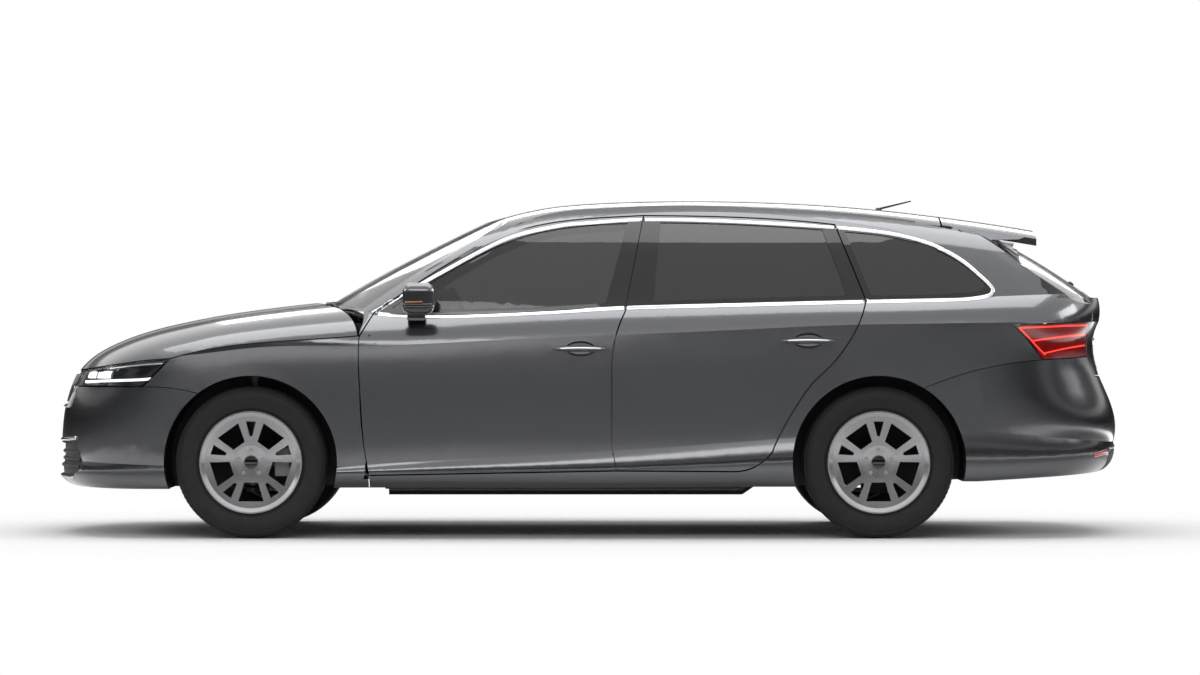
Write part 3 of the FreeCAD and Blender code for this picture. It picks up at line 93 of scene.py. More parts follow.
def blend(tree, share, first, second):
    """The first colour, which turns to the second as the share goes to 1."""
    node = add(tree, "ShaderNodeMix", {"Factor": share, "A": first, "B": second}, data_type="RGBA")
    return node.outputs["Result"]


def split_place(tree, kind="Object"):
    """The X, Y and Z sockets of the shaded point's place, or of its Normal."""
    place = add(tree, "ShaderNodeTexCoord")
    return add(tree, "ShaderNodeSeparateXYZ", {"Vector": place.outputs[kind]}).outputs


def drawn_curve(tree, value, points, straight=False):
    """The height of a curve through points, the first at 0 and the last at 1."""
    node = add(tree, "ShaderNodeFloatCurve", {"Value": value})
    curve = node.mapping.curves[0]
    curve.points[0].location = points[0]
    curve.points[1].location = points[-1]
    for point in points[1:-1]:
        curve.points.new(*point)
    if straight:
        for point in curve.points:
            point.handle_type = "VECTOR"
    node.mapping.update()
    return node.outputs["Value"]


def new_group(name, inputs, **outputs):
    """An empty shader group: inputs are floats with their values, outputs have their types."""
    group = bpy.data.node_groups.new(name, "ShaderNodeTree")
    for label, value in inputs.items():
        group.interface.new_socket(label, in_out="INPUT", socket_type=FLOAT).default_value = value
    for label, kind in outputs.items():
        group.interface.new_socket(label, in_out="OUTPUT", socket_type=kind)
    start = group.nodes.new("NodeGroupInput")
    end = group.nodes.new("NodeGroupOutput")
    return group, start.outputs, end.inputs


# %% [markdown]
# ### Flakes, grain and dust
# Metallic paint holds aluminium flakes, each tilted a little, so the group tilts the normal by cell.
# Moulded plastic and rubber have a fine grain. Dust gathers low on a car, so its mask rises towards
# the ground.

# %% Build the three effect groups
CLOUD_SCALE, DUST_SCALE = 7.0, 22.0


def flake_group():
    """Flakes: a value per cell, to vary the colour, and a normal tilted a little per cell."""
    group, start, end = new_group("paint_flakes", {"Scale": 2500.0, "Tilt": 0.03},
                                  Value=FLOAT, Normal=VECTOR)
    place = add(group, "ShaderNodeTexCoord")
    cells = add(group, "ShaderNodeTexVoronoi",
                {"Vector": place.outputs["Object"], "Scale": start["Scale"]})
    tone = add(group, "ShaderNodeSeparateColor", {"Color": cells.outputs["Color"]}).outputs
    bump = add(group, "ShaderNodeBump",
               {"Distance": 0.0005, "Strength": start["Tilt"], "Height": tone[0]})
    link(group, tone[1], end["Value"])
    link(group, bump.outputs["Normal"], end["Normal"])
    return group


def grain_group():
    """Fine moulded grain: a height for a bump and a slow cloud for the roughness."""
    group, start, end = new_group("fine_grain", {"Scale": 900.0}, Height=FLOAT, Cloud=FLOAT)
    place = add(group, "ShaderNodeTexCoord").outputs["Object"]
    for label, scale in (("Height", start["Scale"]), ("Cloud", CLOUD_SCALE)):
        noise = add(group, "ShaderNodeTexNoise", {"Vector": place, "Scale": scale, "Detail": 3.0})
        link(group, noise.outputs["Fac"], end[label])
    return group


def dust_group():
    """A road-dust mask: 1 near the ground, 0 above Top, broken up by noise."""
    group, start, end = new_group("road_dust", {"Top": 0.5, "Amount": 0.3}, Mask=FLOAT)
    low = ramp(group, split_place(group)["Z"], end=start["Top"], low=1.0, high=0.0)
    place = add(group, "ShaderNodeTexCoord").outputs["Object"]
    noise = add(group, "ShaderNodeTexNoise", {"Vector": place, "Scale": DUST_SCALE, "Detail": 6.0})
    broken = maths(group, "MULTIPLY", low, noise.outputs["Fac"])
    link(group, maths(group, "MULTIPLY", broken, start["Amount"], clamp=True), end["Mask"])
    return group


FLAKES, GRAIN, DUST = flake_group(), grain_group(), dust_group()
print("effect groups:", [group.name for group in (FLAKES, GRAIN, DUST)])


# %% One helper makes a finish
DUST_COLOUR = (0.16, 0.14, 0.12, 1.0)


def finish(name, colour, rough=0.5, metal=0.0, grain=0.0, scale=900.0, dust=0.0, dust_top=0.5,
           vary=0.12, **sockets):
    """A Principled material with grain, cloudy roughness and dust; sockets are set on the shader."""
    material = bpy.data.materials.new(name)
    material.use_nodes = True
    tree = material.node_tree
    inputs = tree.nodes["Principled BSDF"].inputs
    inputs["Base Color"].default_value = (*colour, 1.0)
    inputs["Metallic"].default_value = metal
    for key, value in sockets.items():
        inputs[key.replace("_", " ")].default_value = value
    moulded = add(tree, "ShaderNodeGroup", {"Scale": scale}, node_tree=GRAIN).outputs
    cloudy = ramp(tree, moulded["Cloud"], low=rough * (1 - vary), high=min(1.0, rough * (1 + vary)))
    link(tree, cloudy, inputs["Roughness"])
    if grain:
        bump = add(tree, "ShaderNodeBump",
                   {"Strength": grain, "Distance": 0.001, "Height": moulded["Height"]})
        link(tree, bump.outputs["Normal"], inputs["Normal"])
    if dust:
        mask = add(tree, "ShaderNodeGroup", {"Top": dust_top, "Amount": dust}, node_tree=DUST)
        dusty = blend(tree, mask.outputs["Mask"], (*colour, 1.0), DUST_COLOUR)
        link(tree, dusty, inputs["Base Color"])
    return material


# %% [markdown]
# ### Paint, glass, metal, rubber and cloth
# The paint is graphite grey: a metallic base under a clear coat. The door frames and pillars inside
# the window line are gloss black, so the paint carries a mask between two curves over the car's
# length, the window line's top and its foot. The pillars' rear faces beside the tailgate glass are
# black too.

# %% Graphite paint with black window frames
WINDOW_START, WINDOW_END = -1.10, 1.90
WINDOW_TOP = [(-1.10, 0.90), (-0.98, 0.955), (-0.80, 1.045), (-0.628, 1.143), (-0.43, 1.251),
              (-0.297, 1.306), (-0.12, 1.347), (0.244, 1.375), (0.56, 1.371), (0.876, 1.353),
              (1.318, 1.316), (1.478, 1.273), (1.602, 1.204), (1.70, 1.125), (1.753, 1.06), (1.78, 0.9)]
WINDOW_FOOT = [(-1.10, 1.1), (-0.96, 0.97), (-0.621, 0.957), (-0.119, 0.977), (0.17, 0.994),
               (1.194, 1.021), (1.621, 1.03), (1.72, 1.045), (1.75, 1.06), (1.78, 1.2)]
CURVE_FOOT = 0.5
PAINT_COLOUR = (0.115, 0.118, 0.127)
FRAME_BLACK = (0.006, 0.006, 0.007)
FLAKE_TILT, DULL_FLAKE, BRIGHT_FLAKE = 0.05, 0.86, 1.16
TAIL_PILLAR_FOOT, FACES_BACK = 1.03, 0.35


def along_car(tree, share, line):
    """The height over CURVE_FOOT of a line that is drawn over the car's length."""
    points = [((y - WINDOW_START) / (WINDOW_END - WINDOW_START), z - CURVE_FOOT) for y, z in line]
    ends = (0.0, points[0][1]), (1.0, points[-1][1])
    return drawn_curve(tree, share, [ends[0], *points[1:-1], ends[1]], straight=True)


def paint_material(name, window_mask):
    """Metallic paint with clear coat; with the mask, gloss black inside the window line."""
    material = finish(name, PAINT_COLOUR, rough=0.2, metal=0.95, Coat_Weight=1.0, Coat_Roughness=0.02)
    tree = material.node_tree
    inputs = tree.nodes["Principled BSDF"].inputs
    flakes = add(tree, "ShaderNodeGroup", {"Tilt": FLAKE_TILT}, node_tree=FLAKES).outputs
    dull, bright = [(*[c * share for c in PAINT_COLOUR], 1.0) for share in (DULL_FLAKE, BRIGHT_FLAKE)]
    tone = blend(tree, flakes["Value"], dull, bright)
    link(tree, flakes["Normal"], inputs["Normal"])
    if window_mask:
        place = split_place(tree)
        share = ramp(tree, place["Y"], WINDOW_START, WINDOW_END)
        level = maths(tree, "SUBTRACT", place["Z"], CURVE_FOOT)
        under = maths(tree, "LESS_THAN", level, along_car(tree, share, WINDOW_TOP))
        over = maths(tree, "GREATER_THAN", level, along_car(tree, share, WINDOW_FOOT))
        backward = maths(tree, "GREATER_THAN", split_place(tree, "Normal")["Y"], FACES_BACK)
        high = maths(tree, "GREATER_THAN", place["Z"], TAIL_PILLAR_FOOT)
        window = maths(tree, "MULTIPLY", under, over)
        pillar = maths(tree, "MULTIPLY", backward, high)
        tone = blend(tree, maths(tree, "MAXIMUM", window, pillar), tone, (*FRAME_BLACK, 1.0))
    link(tree, tone, inputs["Base Color"])
    return material


PAINT = paint_material("graphite_paint", False)
SIDE_PAINT = paint_material("graphite_paint_with_black_frames", True)


# %% [markdown]
# ### Glass
# Car glass is thin and slightly tinted, and the rear windows are darker. A solid pane with real
# refraction would need many light bounces, so the glass is a dark, partly clear surface whose alpha
# lets the cabin show, with a sharp coat for reflections.

# %% Glass that shows the cabin
def glass(name, colour, alpha):
    """Tinted glass: mostly clear by its alpha, with the reflections of a polished surface."""
    return finish(name, colour, rough=0.02, vary=0.0, Alpha=alpha, IOR=1.52, Coat_Weight=0.6,
                  Coat_Roughness=0.01)


SIDE_GLASS = glass("tinted_side_glass", (0.012, 0.014, 0.015), 0.62)
REAR_GLASS = glass("dark_rear_glass", (0.007, 0.008, 0.009), 0.84)
SCREEN_GLASS = glass("windscreen_glass", (0.014, 0.017, 0.018), 0.5)
LENS = glass("clear_lens", (0.03, 0.032, 0.035), 0.22)
RED_LENS = glass("smoked_red_lens", (0.16, 0.005, 0.005), 0.62)

# %% The other finishes
CHROME = finish("satin_chrome", (0.78, 0.79, 0.8), rough=0.14, metal=1.0, grain=0.02)
ALLOY = finish("silver_alloy", (0.44, 0.445, 0.455), rough=0.22, metal=0.9, grain=0.05, scale=1600,
               Coat_Weight=0.7, Coat_Roughness=0.06)
DISC_METAL = finish("brake_disc_steel", (0.42, 0.41, 0.4), rough=0.35, metal=1.0)
GLOSS_BLACK = finish("gloss_black_trim", (0.006, 0.006, 0.007), rough=0.1, Coat_Weight=1.0)
SATIN_BLACK = finish("satin_black_plastic", (0.013, 0.013, 0.014), rough=0.5, grain=0.25, dust=0.25)
RUBBER = finish("tyre_rubber", (0.009, 0.009, 0.0095), rough=0.6, grain=0.3, scale=600, dust=0.12,
                dust_top=0.9, Specular_IOR_Level=0.3)
CHASSIS = finish("chassis_paint", (0.02, 0.02, 0.021), rough=0.55, metal=0.2, grain=0.2, dust=0.8)
CAST = finish("cast_metal", (0.2, 0.2, 0.2), rough=0.55, metal=0.8, grain=0.5, scale=500, dust=0.5)
EXHAUST = finish("exhaust_steel", (0.28, 0.26, 0.24), rough=0.42, metal=0.95, grain=0.2, dust=0.6)
TRIM = finish("cabin_plastic", (0.03, 0.03, 0.032), rough=0.6, grain=0.5, scale=1200)
CLOTH = finish("seat_cloth", (0.045, 0.046, 0.05), rough=0.9, grain=0.8, scale=1500, Sheen_Weight=0.3)
WHITE_LIGHT = finish("lamp_light", (0.9, 0.92, 0.95), rough=0.2, Emission_Strength=1.4,
                     Emission_Color=(0.9, 0.95, 1, 1))
RED_LIGHT = finish("tail_light", (0.8, 0.04, 0.025), rough=0.25, Emission_Strength=3.0,
                   Emission_Color=(1, 0.07, 0.05, 1))
RED_REFLECTOR = finish("red_reflector", (0.5, 0.015, 0.012), rough=0.15, Coat_Weight=1.0)
print("materials:", len(bpy.data.materials))


# %% Painted shade: the barrel behind the spokes is darker
BARREL_FROM, BARREL_TO = 0.828, 0.80
# The colour of the shade painted on the barrel, which is really the same alloy as the spokes.
BARREL_PAINTED_SHADE = (0.05, 0.05, 0.053)


def paint_shade_inside(material, outer, inner, dark):
    """Paints shade: mixes the base colour to a dark one where a wheel's metal lies deep behind its
    face, in the spokes' shade.
    """
    tree = material.node_tree
    base = tree.nodes["Principled BSDF"].inputs["Base Color"]
    from_middle = maths(tree, "ABSOLUTE", split_place(tree)["X"])
    # Share of painted shade: full at the inner depth, none at the outer face.
    depth = ramp(tree, from_middle, inner, outer, 1.0, 0.0, smooth=True)
    link(tree, blend(tree, depth, base.default_value, (*dark, 1.0)), base)


# Painted shade: the alloy turns dark deep inside each wheel, where the spokes shade the barrel.
paint_shade_inside(ALLOY, BARREL_FROM, BARREL_TO, BARREL_PAINTED_SHADE)

# %% Give every CAD node its finish
FINISH_OF_SLOT = {
    "body_paint": PAINT, "side_glass": SIDE_GLASS, "screen_glass": SCREEN_GLASS, "lamp_front": LENS,
    "lamp_rear": RED_LENS, "bright_trim": CHROME, "black_trim": SATIN_BLACK, "rim_alloy": ALLOY,
    "tyre_rubber": RUBBER, "chassis_steel": CHASSIS, "cast_parts": CAST, "exhaust_steel": EXHAUST,
    "cabin_trim": TRIM, "seat_cloth": CLOTH,
}
FINISH_OF_NODE = {
    "body_side_left": SIDE_PAINT, "body_side_right": SIDE_PAINT,
    "door_front_left": SIDE_PAINT, "door_front_right": SIDE_PAINT,
    "door_rear_left": SIDE_PAINT, "door_rear_right": SIDE_PAINT, "tailgate": SIDE_PAINT,
    "door_glass_rear_left": REAR_GLASS, "door_glass_rear_right": REAR_GLASS,
    "quarter_glasses": REAR_GLASS, "tailgate_glass": REAR_GLASS, "steering_wheel": SATIN_BLACK,
}
for name, node in nodes.items():
    slot_name = node.data.materials[0].name
    node.material_slots[0].material = FINISH_OF_NODE.get(name, FINISH_OF_SLOT[slot_name])
print("CAD nodes with a finish:", len(nodes))

# %% [markdown]
# ## The studio
# The photograph is a long-lens side view in a white studio. The camera stands 19 m to the car's left,
# a little below the height of the belt line. A white floor fades into the white background and keeps
# the soft shadow under the car, and wide soft lamps stand overhead and on all four sides.

# %% Camera
CAMERA_PLACE, CAMERA_LENS = (19.1, 0.054, 0.86), 127.95
camera = bpy.data.objects.new("camera", bpy.data.cameras.new("camera"))
scene.collection.objects.link(camera)
camera.location = CAMERA_PLACE
camera.rotation_euler = (radians(90), 0, radians(90))
camera.data.lens = CAMERA_LENS
scene.camera = camera


# %% White world, with a plain level of light on the car
def seen_straight(tree):
    """The share of rays from the camera, off a mirror or through glass, and of mirror rays alone."""
    path = add(tree, "ShaderNodeLightPath").outputs
    direct = maths(tree, "MAXIMUM", path["Is Camera Ray"], path["Is Glossy Ray"])
    return maths(tree, "MAXIMUM", direct, path["Is Transmission Ray"]), path["Is Glossy Ray"]


WORLD_LIGHT = 0.45
scene.view_settings.view_transform = "Standard"
world = bpy.data.worlds.new("white_studio")
scene.world = world
world.use_nodes = True
sky = world.node_tree
sky.nodes.clear()
strength = ramp(sky, seen_straight(sky)[0], low=WORLD_LIGHT, high=1.0)
backdrop = add(sky, "ShaderNodeBackground", {"Color": WHITE, "Strength": strength})
add(sky, "ShaderNodeOutputWorld", {"Surface": backdrop.outputs[0]})


# %% Floor that turns white away from the car
def bare_material(name):
    """A material without nodes, and its tree."""
    material = bpy.data.materials.new(name)
    material.use_nodes = True
    material.node_tree.nodes.clear()
    return material, material.node_tree


def object_of(name, bm):
    """An object in the scene with a bmesh's mesh."""
    mesh = bpy.data.meshes.new(name)
    bm.to_mesh(mesh)
    bm.free()
    made = bpy.data.objects.new(name, mesh)
    scene.collection.objects.link(made)
    return made


FLOOR_SQUEEZE = (1.0, 0.62, 1.0)
SHADOW_FADE = (1.35, 3.0)
MIRROR_ZONES = ((3.4, 5.4, 0.28, 1.9), (6.0, 9.0, 1.0, 0.04))


def floor_material():
    """White floor: it takes the car's shadow near it and is plain white further out."""
    material, tree = bare_material("studio_floor")
    place = add(tree, "ShaderNodeTexCoord")
    squeeze = add(tree, "ShaderNodeMapping",
                  {"Vector": place.outputs["Object"], "Scale": FLOOR_SQUEEZE})
    length = add(tree, "ShaderNodeVectorMath", {0: squeeze.outputs["Vector"]}, operation="LENGTH")
    away = length.outputs["Value"]
    straight, mirror_ray = seen_straight(tree)
    share = maths(tree, "MULTIPLY", ramp(tree, away, *SHADOW_FADE, smooth=True), straight)
    near, far = [ramp(tree, away, *zone, smooth=True) for zone in MIRROR_ZONES]
    strength = add(tree, "ShaderNodeMix", data_type="FLOAT", inputs={
        "A": 1.0, "B": maths(tree, "MULTIPLY", near, far), "Factor": mirror_ray})
    matt = add(tree, "ShaderNodeBsdfDiffuse", {"Color": (0.9, 0.9, 0.9, 1)})
    white = add(tree, "ShaderNodeEmission", {"Color": WHITE, "Strength": strength.outputs["Result"]})
    mix = add(tree, "ShaderNodeMixShader", {0: share, 1: matt.outputs[0], 2: white.outputs[0]})
    add(tree, "ShaderNodeOutputMaterial", {"Surface": mix.outputs[0]})
    return material


bm = bmesh.new()
bmesh.ops.create_grid(bm, x_segments=2, y_segments=2, size=60)
floor = object_of("studio_floor", bm)
floor.data.materials.append(floor_material())


# %% Soft lamps
def softbox(name, place, aim, width, height, power):
    """A rectangular area lamp at a place, turned to a point."""
    lamp = bpy.data.lights.new(name, "AREA")
    lamp.shape = "RECTANGLE"
    lamp.size = width
    lamp.size_y = height
    lamp.energy = power
    lamp_object = bpy.data.objects.new(name, lamp)
    scene.collection.objects.link(lamp_object)
    lamp_object.location = place
    lamp_object.rotation_euler = (Vector(aim) - Vector(place)).to_track_quat("-Z", "Y").to_euler()


# %% [markdown]
# A photographer stands grey cards and a low strip light round a car, so that its sides mirror
# a dark room with bright bands and its shapes read. Only mirror-like reflections see this band. The
# floor is bright in them between about 4 and 8 m out, which draws the soft light band below the
# shoulder line, where the doors lean a few degrees towards the floor.

# %% Grey band for the reflections
BAND_SIZE, BAND_MIDDLE = (10, 14, 4.1), (0, 0, 2.06)
BAND_LEVELS = [(0.0, 0.07), (0.34, 0.06), (0.42, 0.35), (0.52, 0.45), (0.62, 0.15), (0.80, 0.12),
               (0.92, 0.45), (1.0, 1.0)]
bm = bmesh.new()
bmesh.ops.create_cone(bm, cap_ends=False, segments=96, radius1=1, radius2=1, depth=1)
bmesh.ops.scale(bm, vec=BAND_SIZE, verts=bm.verts)
bmesh.ops.translate(bm, vec=BAND_MIDDLE, verts=bm.verts)
grey_band = object_of("grey_band", bm)
band_material, band_tree = bare_material("grey_card")
height = ramp(band_tree, split_place(band_tree)["Z"], end=BAND_SIZE[2])
glow = add(band_tree, "ShaderNodeEmission",
           {"Color": WHITE, "Strength": drawn_curve(band_tree, height, BAND_LEVELS)})
add(band_tree, "ShaderNodeOutputMaterial", {"Surface": glow.outputs[0]})
grey_band.data.materials.append(band_material)
for setting in ("visible_camera", "visible_diffuse", "visible_shadow", "visible_transmission"):
    setattr(grey_band, setting, False)

# %% Lamps round the car
softbox("overhead_lamp", (0, 0, 5.5), (0, 0, 0), 4.0, 8.0, 230)
softbox("left_lamp", (7.5, -1.0, 4.2), (0, 0, 0.6), 8.0, 1.6, 110)
softbox("right_lamp", (-7.5, 1.0, 4.2), (0, 0, 0.6), 8.0, 1.6, 110)
softbox("front_lamp", (0, -8.0, 3.5), (0, 0, 0.6), 4.0, 2.0, 90)
softbox("rear_lamp", (0, 8.0, 3.5), (0, 0, 0.6), 4.0, 2.0, 90)
print("lamps:", len(bpy.data.lights))

# %% [markdown]
# ## Laying thin things on the skin
# Trim on a car follows its skin. A grid drawn in a side, front, rear or top view is cast onto the CAD
# surface, lifted a little and given a thickness, so that it lies on the car from every angle.

# %% Rays onto the CAD skin
def around(a, b, centre, turn):
    """A ray towards an upright line on the car's middle, from an angle a at a height b."""
    out = Vector((sin(a), turn * cos(a), 0))
    return Vector((0, centre, b)) + out * 3, -out


VIEWS = {
    "left": lambda a, b: (Vector((3, a, b)), Vector((-1, 0, 0))),
    "right": lambda a, b: (Vector((-3, a, b)), Vector((1, 0, 0))),
    "front": lambda a, b: (Vector((a, -4, b)), Vector((0, 1, 0))),
    "rear": lambda a, b: (Vector((a, 4, b)), Vector((0, -1, 0))),
    "top": lambda a, b: (Vector((a, b, 3)), Vector((0, 0, -1))),
    "nose": lambda a, b: around(a, b, -1.55, -1),
    "tail": lambda a, b: around(a, b, 1.55, 1),
    "cabin": lambda a, b: (Vector((0.3, a, b)), Vector((1, 0, 0))),
}


def skin_of(*names):
    """One search tree over the meshes of several CAD nodes."""
    both = bmesh.new()
    for name in names:
        both.from_mesh(nodes[name].data)
    tree = BVHTree.FromBMesh(both)
    both.free()
    return tree


def on_skin(skin, view, a, b, lift=0.0):
    """The point where the view's ray at (a, b) meets the skin, lifted towards the viewer."""
    start, way = VIEWS[view](a, b)
    hit = skin.ray_cast(start, way)[0]
    return None if hit is None else hit - way * lift


def smooth_line(points, count):
    """Points spread evenly by length over a curve that passes through the given points."""
    line = [Vector(p) for p in points]
    line = [line[0] * 2 - line[1]] + line + [line[-1] * 2 - line[-2]]
    dense = []
    for p0, p1, p2, p3 in zip(line, line[1:], line[2:], line[3:]):
        for k in range(24):
            t = k / 24
            dense.append(0.5 * (2 * p1 + (p2 - p0) * t + (2 * p0 - 5 * p1 + 4 * p2 - p3) * t ** 2
                                + (3 * p1 - p0 - 3 * p2 + p3) * t ** 3))
    dense.append(line[-2])
    runs = [0.0]
    for p, q in zip(dense, dense[1:]):
        runs.append(runs[-1] + (q - p).length)
    spread, k = [], 0
    for step in range(count):
        want = runs[-1] * step / (count - 1)
        while k < len(runs) - 2 and runs[k + 1] < want:
            k += 1
        share = (want - runs[k]) / max(runs[k + 1] - runs[k], 1e-9)
        spread.append(dense[k].lerp(dense[k + 1], share))
    return spread


def cornered(points, count):
    """Straight runs between corners, each of count points without its last."""
    return [point for start, end in zip(points, points[1:])
            for point in smooth_line([start, end], count)[:-1]]


# %% A piece from a bmesh
def piece(name, bm, body, slot_name, material, bevel=0.0, thick=0.0, smooth=True):
    """Makes the object, with its finish, its body and its closing modifiers."""
    made = object_of(name, bm)
    if smooth:
        made.data.shade_smooth()
    made.data.materials.append(material)
    if thick:
        wall = made.modifiers.new("wall", "SOLIDIFY")
        wall.thickness = thick
        wall.offset = -1
    if bevel:
        edge = made.modifiers.new("edge", "BEVEL")
        edge.width = bevel
        edge.segments = 2
        edge.angle_limit = radians(50)
    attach(made, body)
    return made


def mirrored(bm):
    """A copy of a bmesh on the car's other side, with its faces still pointing outwards."""
    twin = bm.copy()
    bmesh.ops.scale(twin, vec=(-1, 1, 1), verts=twin.verts)
    bmesh.ops.reverse_faces(twin, faces=twin.faces)
    return twin


def pair(name, bm, body, *rest, **more):
    """The left piece and its twin on the right; body names a left body or the shell."""
    twin = mirrored(bm)
    left = piece(name + "_left", bm, body, *rest, **more)
    return left, piece(name + "_right", twin, body.replace("_left", "_right"), *rest, **more)


# %% Strips and patches
def laid(skin, view, columns, rows, lift, crown, aims):
    """A grid on the skin; each vert takes the first of its aims in the view that meets the skin."""
    bm = bmesh.new()
    outward = {}
    bmesh.ops.create_grid(bm, x_segments=columns, y_segments=rows, size=0.5)
    for vert in list(bm.verts):
        place = min(round((vert.co.x + 0.5) * columns), columns)
        height = lift + crown * (1 - (2 * vert.co.y) ** 2)
        tried = aims(place, vert.co.y)
        found = [hit for hit in (on_skin(skin, view, *aim, height) for aim in tried)
                 if hit is not None]
        if found:
            vert.co = found[0]
            outward[vert] = -VIEWS[view](*tried[0])[1]
        else:
            bm.verts.remove(vert)
    bm.normal_update()
    if sum(vert.normal.dot(outward[vert]) for vert in bm.verts) < 0:
        bmesh.ops.reverse_faces(bm, faces=bm.faces)
    return bm


def strip(skin, view, line, width, lift=0.002, crown=0.003, rows=4):
    """A band along a line drawn in a view, laid on the skin with a crowned section."""
    last = len(line) - 1

    def aims(place, across):
        """The vert's own place beside the line, then the line itself."""
        ahead = line[min(place + 1, last)] - line[max(place - 1, 0)]
        aside = Vector((-ahead.y, ahead.x)).normalized()
        return line[place] + aside * (across * width), line[place]

    return laid(skin, view, last, rows, lift, crown, aims)


def patch(skin, view, low, high, columns=40, rows=8, lift=0.002, crown=0.0):
    """A sheet between a low and a high line drawn in a view, laid on the skin."""
    low, high = smooth_line(low, columns + 1), smooth_line(high, columns + 1)
    return laid(skin, view, columns, rows, lift, crown,
                lambda place, across: (low[place].lerp(high[place], across + 0.5),))


# %% [markdown]
# ## Bright window line
# A 17 mm satin-chrome strip runs right round the side windows. It is fixed to both doors and to the
# body behind them, so it is split at the shut lines: each stretch rides on the panel under it.

# %% Window line, split where the panel under it changes
SIDE_SKIN = skin_of("door_front_left", "door_rear_left", "body_side_left")
PANELS = {"front_door_left": skin_of("door_front_left"), "rear_door_left": skin_of("door_rear_left"),
          "shell": skin_of("body_side_left")}
WINDOW_LINE = [(-0.925, 0.965), (-0.85, 1.006), (-0.76, 1.062), (-0.628, 1.1385), (-0.43, 1.2475),
               (-0.297, 1.3035), (-0.12, 1.3435), (0.0, 1.356), (0.244, 1.3715), (0.56, 1.366),
               (0.876, 1.3495), (1.10, 1.334), (1.318, 1.3085), (1.478, 1.2655), (1.602, 1.199),
               (1.69, 1.125), (1.735, 1.078), (1.738, 1.055), (1.715, 1.038), (1.621, 1.025),
               (1.40, 1.019), (1.194, 1.014), (0.70, 1.001), (0.17, 0.987), (-0.119, 0.970),
               (-0.38, 0.957), (-0.621, 0.950), (-0.80, 0.955), (-0.9, 0.962)]


def panel_under(point):
    """The body whose panel is outermost under a point of the side view."""
    best, found = -1.0, "shell"
    for body, skin in PANELS.items():
        hit = on_skin(skin, "left", point.x, point.y)
        if hit is not None and hit.x > best:
            best, found = hit.x, body
    return found


def split_by_panel(line):
    """Runs of a line's points that lie on one body's panel."""
    runs = []
    for point in line:
        body = panel_under(point)
        if not runs or runs[-1][0] != body:
            runs.append((body, []))
        runs[-1][1].append(point)
    return [(body, points) for body, points in runs if len(points) > 3]


for number, (body, points) in enumerate(split_by_panel(smooth_line(WINDOW_LINE, 900))):
    bm = strip(SIDE_SKIN, "left", points, 0.017, lift=0.0015, crown=0.0025)
    pair("window_line_%d" % number, bm, body, "bright_trim", CHROME, thick=0.003)
    print("window line", number, body, len(points))

# %% [markdown]
# ## Tyres
# A road tyre is a ring with a rounded wall, a few long grooves and shoulder blocks. Its half section
# is drawn once and spun round the axle; the blocks are raised from the faces of the tread, so that
# the tyre stands on the same ground as the plain ring it replaces.

# %% Tyre section, from the inner bead over the tread to the outer bead
BEAD, TREAD_FROM, TREAD_TOP, BLOCK, BLOCK_EDGE = 0.214, 0.3133, 0.3202, 0.0055, 0.0013
TYRE_WALL = [(0.086, BEAD), (0.089, 0.226), (0.0965, 0.235), (0.0975, 0.240), (0.1015, 0.262),
             (0.1022, 0.276), (0.1005, 0.290), (0.0965, 0.301), (0.0985, 0.304), (0.0945, 0.311)]
TREAD = [(0.087, 0.3135), (0.066, 0.3185), (0.061, 0.3120), (0.054, 0.3120), (0.050, 0.3195),
         (0.024, 0.3200), (0.020, 0.3125), (0.012, 0.3125), (0.008, TREAD_TOP)]
TYRE_HALF = TYRE_WALL + TREAD
TYRE_SECTION = TYRE_HALF + [(-x, r) for x, r in reversed(TYRE_HALF)]
WHEELS = {"front_left": (0.7715, -1.4395), "rear_left": (0.7675, 1.2465),
          "front_right": (-0.7715, -1.4395), "rear_right": (-0.7675, 1.2465)}
AXLE_HEIGHT = 0.326
TYRE_STEPS = 90


def spun(section, steps, centre):
    """A closed section of (x, radius) spun round the axle at the centre."""
    bm = bmesh.new()
    verts = [bm.verts.new((x, 0, radius)) for x, radius in section]
    edges = [bm.edges.new((a, b)) for a, b in zip(verts, verts[1:] + verts[:1])]
    bmesh.ops.spin(bm, geom=verts + edges, cent=(0, 0, 0), axis=(1, 0, 0), angle=2 * pi, steps=steps,
                   use_merge=True, use_duplicate=False)
    bmesh.ops.remove_doubles(bm, verts=bm.verts, dist=1e-6)
    bmesh.ops.recalc_face_normals(bm, faces=bm.faces)
    bmesh.ops.translate(bm, verts=bm.verts, vec=centre)
    return bm


def radius_of(point, centre):
    """Distance of a point from the wheel's axle line."""
    return ((point.y - centre[1]) ** 2 + (point.z - centre[2]) ** 2) ** 0.5


for wheel, (x, y) in WHEELS.items():
    centre = (x, y, AXLE_HEIGHT)
    bm = spun(TYRE_SECTION, TYRE_STEPS, centre)
    blocks = [face for face in bm.faces
              if min(radius_of(vert.co, centre) for vert in face.verts) > TREAD_FROM]
    bmesh.ops.inset_individual(bm, faces=blocks, thickness=BLOCK_EDGE, depth=BLOCK,
                               use_even_offset=True)
    tyre = piece("tyre_%s_dressed" % wheel, bm, "wheel_" + wheel, "tyre_rubber", RUBBER, smooth=False)
    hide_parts("tyre_" + wheel)
print("tyre faces:", len(tyre.data.polygons), "tread radius", round(TREAD_TOP + BLOCK, 4))

# %% [markdown]
# ## Wheel centres
# Five bolts sit in their bores round a plain black cap. The rim's own face sets how deep they lie.

# %% Cap and bolts
HUB_FACE, BOLT_CIRCLE, BOLTS, STUD_LENGTH = 0.040, 0.056, 5, 0.012


def stud(bm, sides, wide, narrow, side, place):
    """Adds a short cone along the axle, with its narrow end outwards."""
    verts = bmesh.ops.create_cone(bm, cap_ends=True, segments=sides, radius1=wide, radius2=narrow,
                                  depth=STUD_LENGTH)["verts"]
    bmesh.ops.rotate(bm, verts=verts, matrix=Matrix.Rotation(side * pi / 2, 3, "Y"))
    bmesh.ops.translate(bm, verts=verts, vec=place)


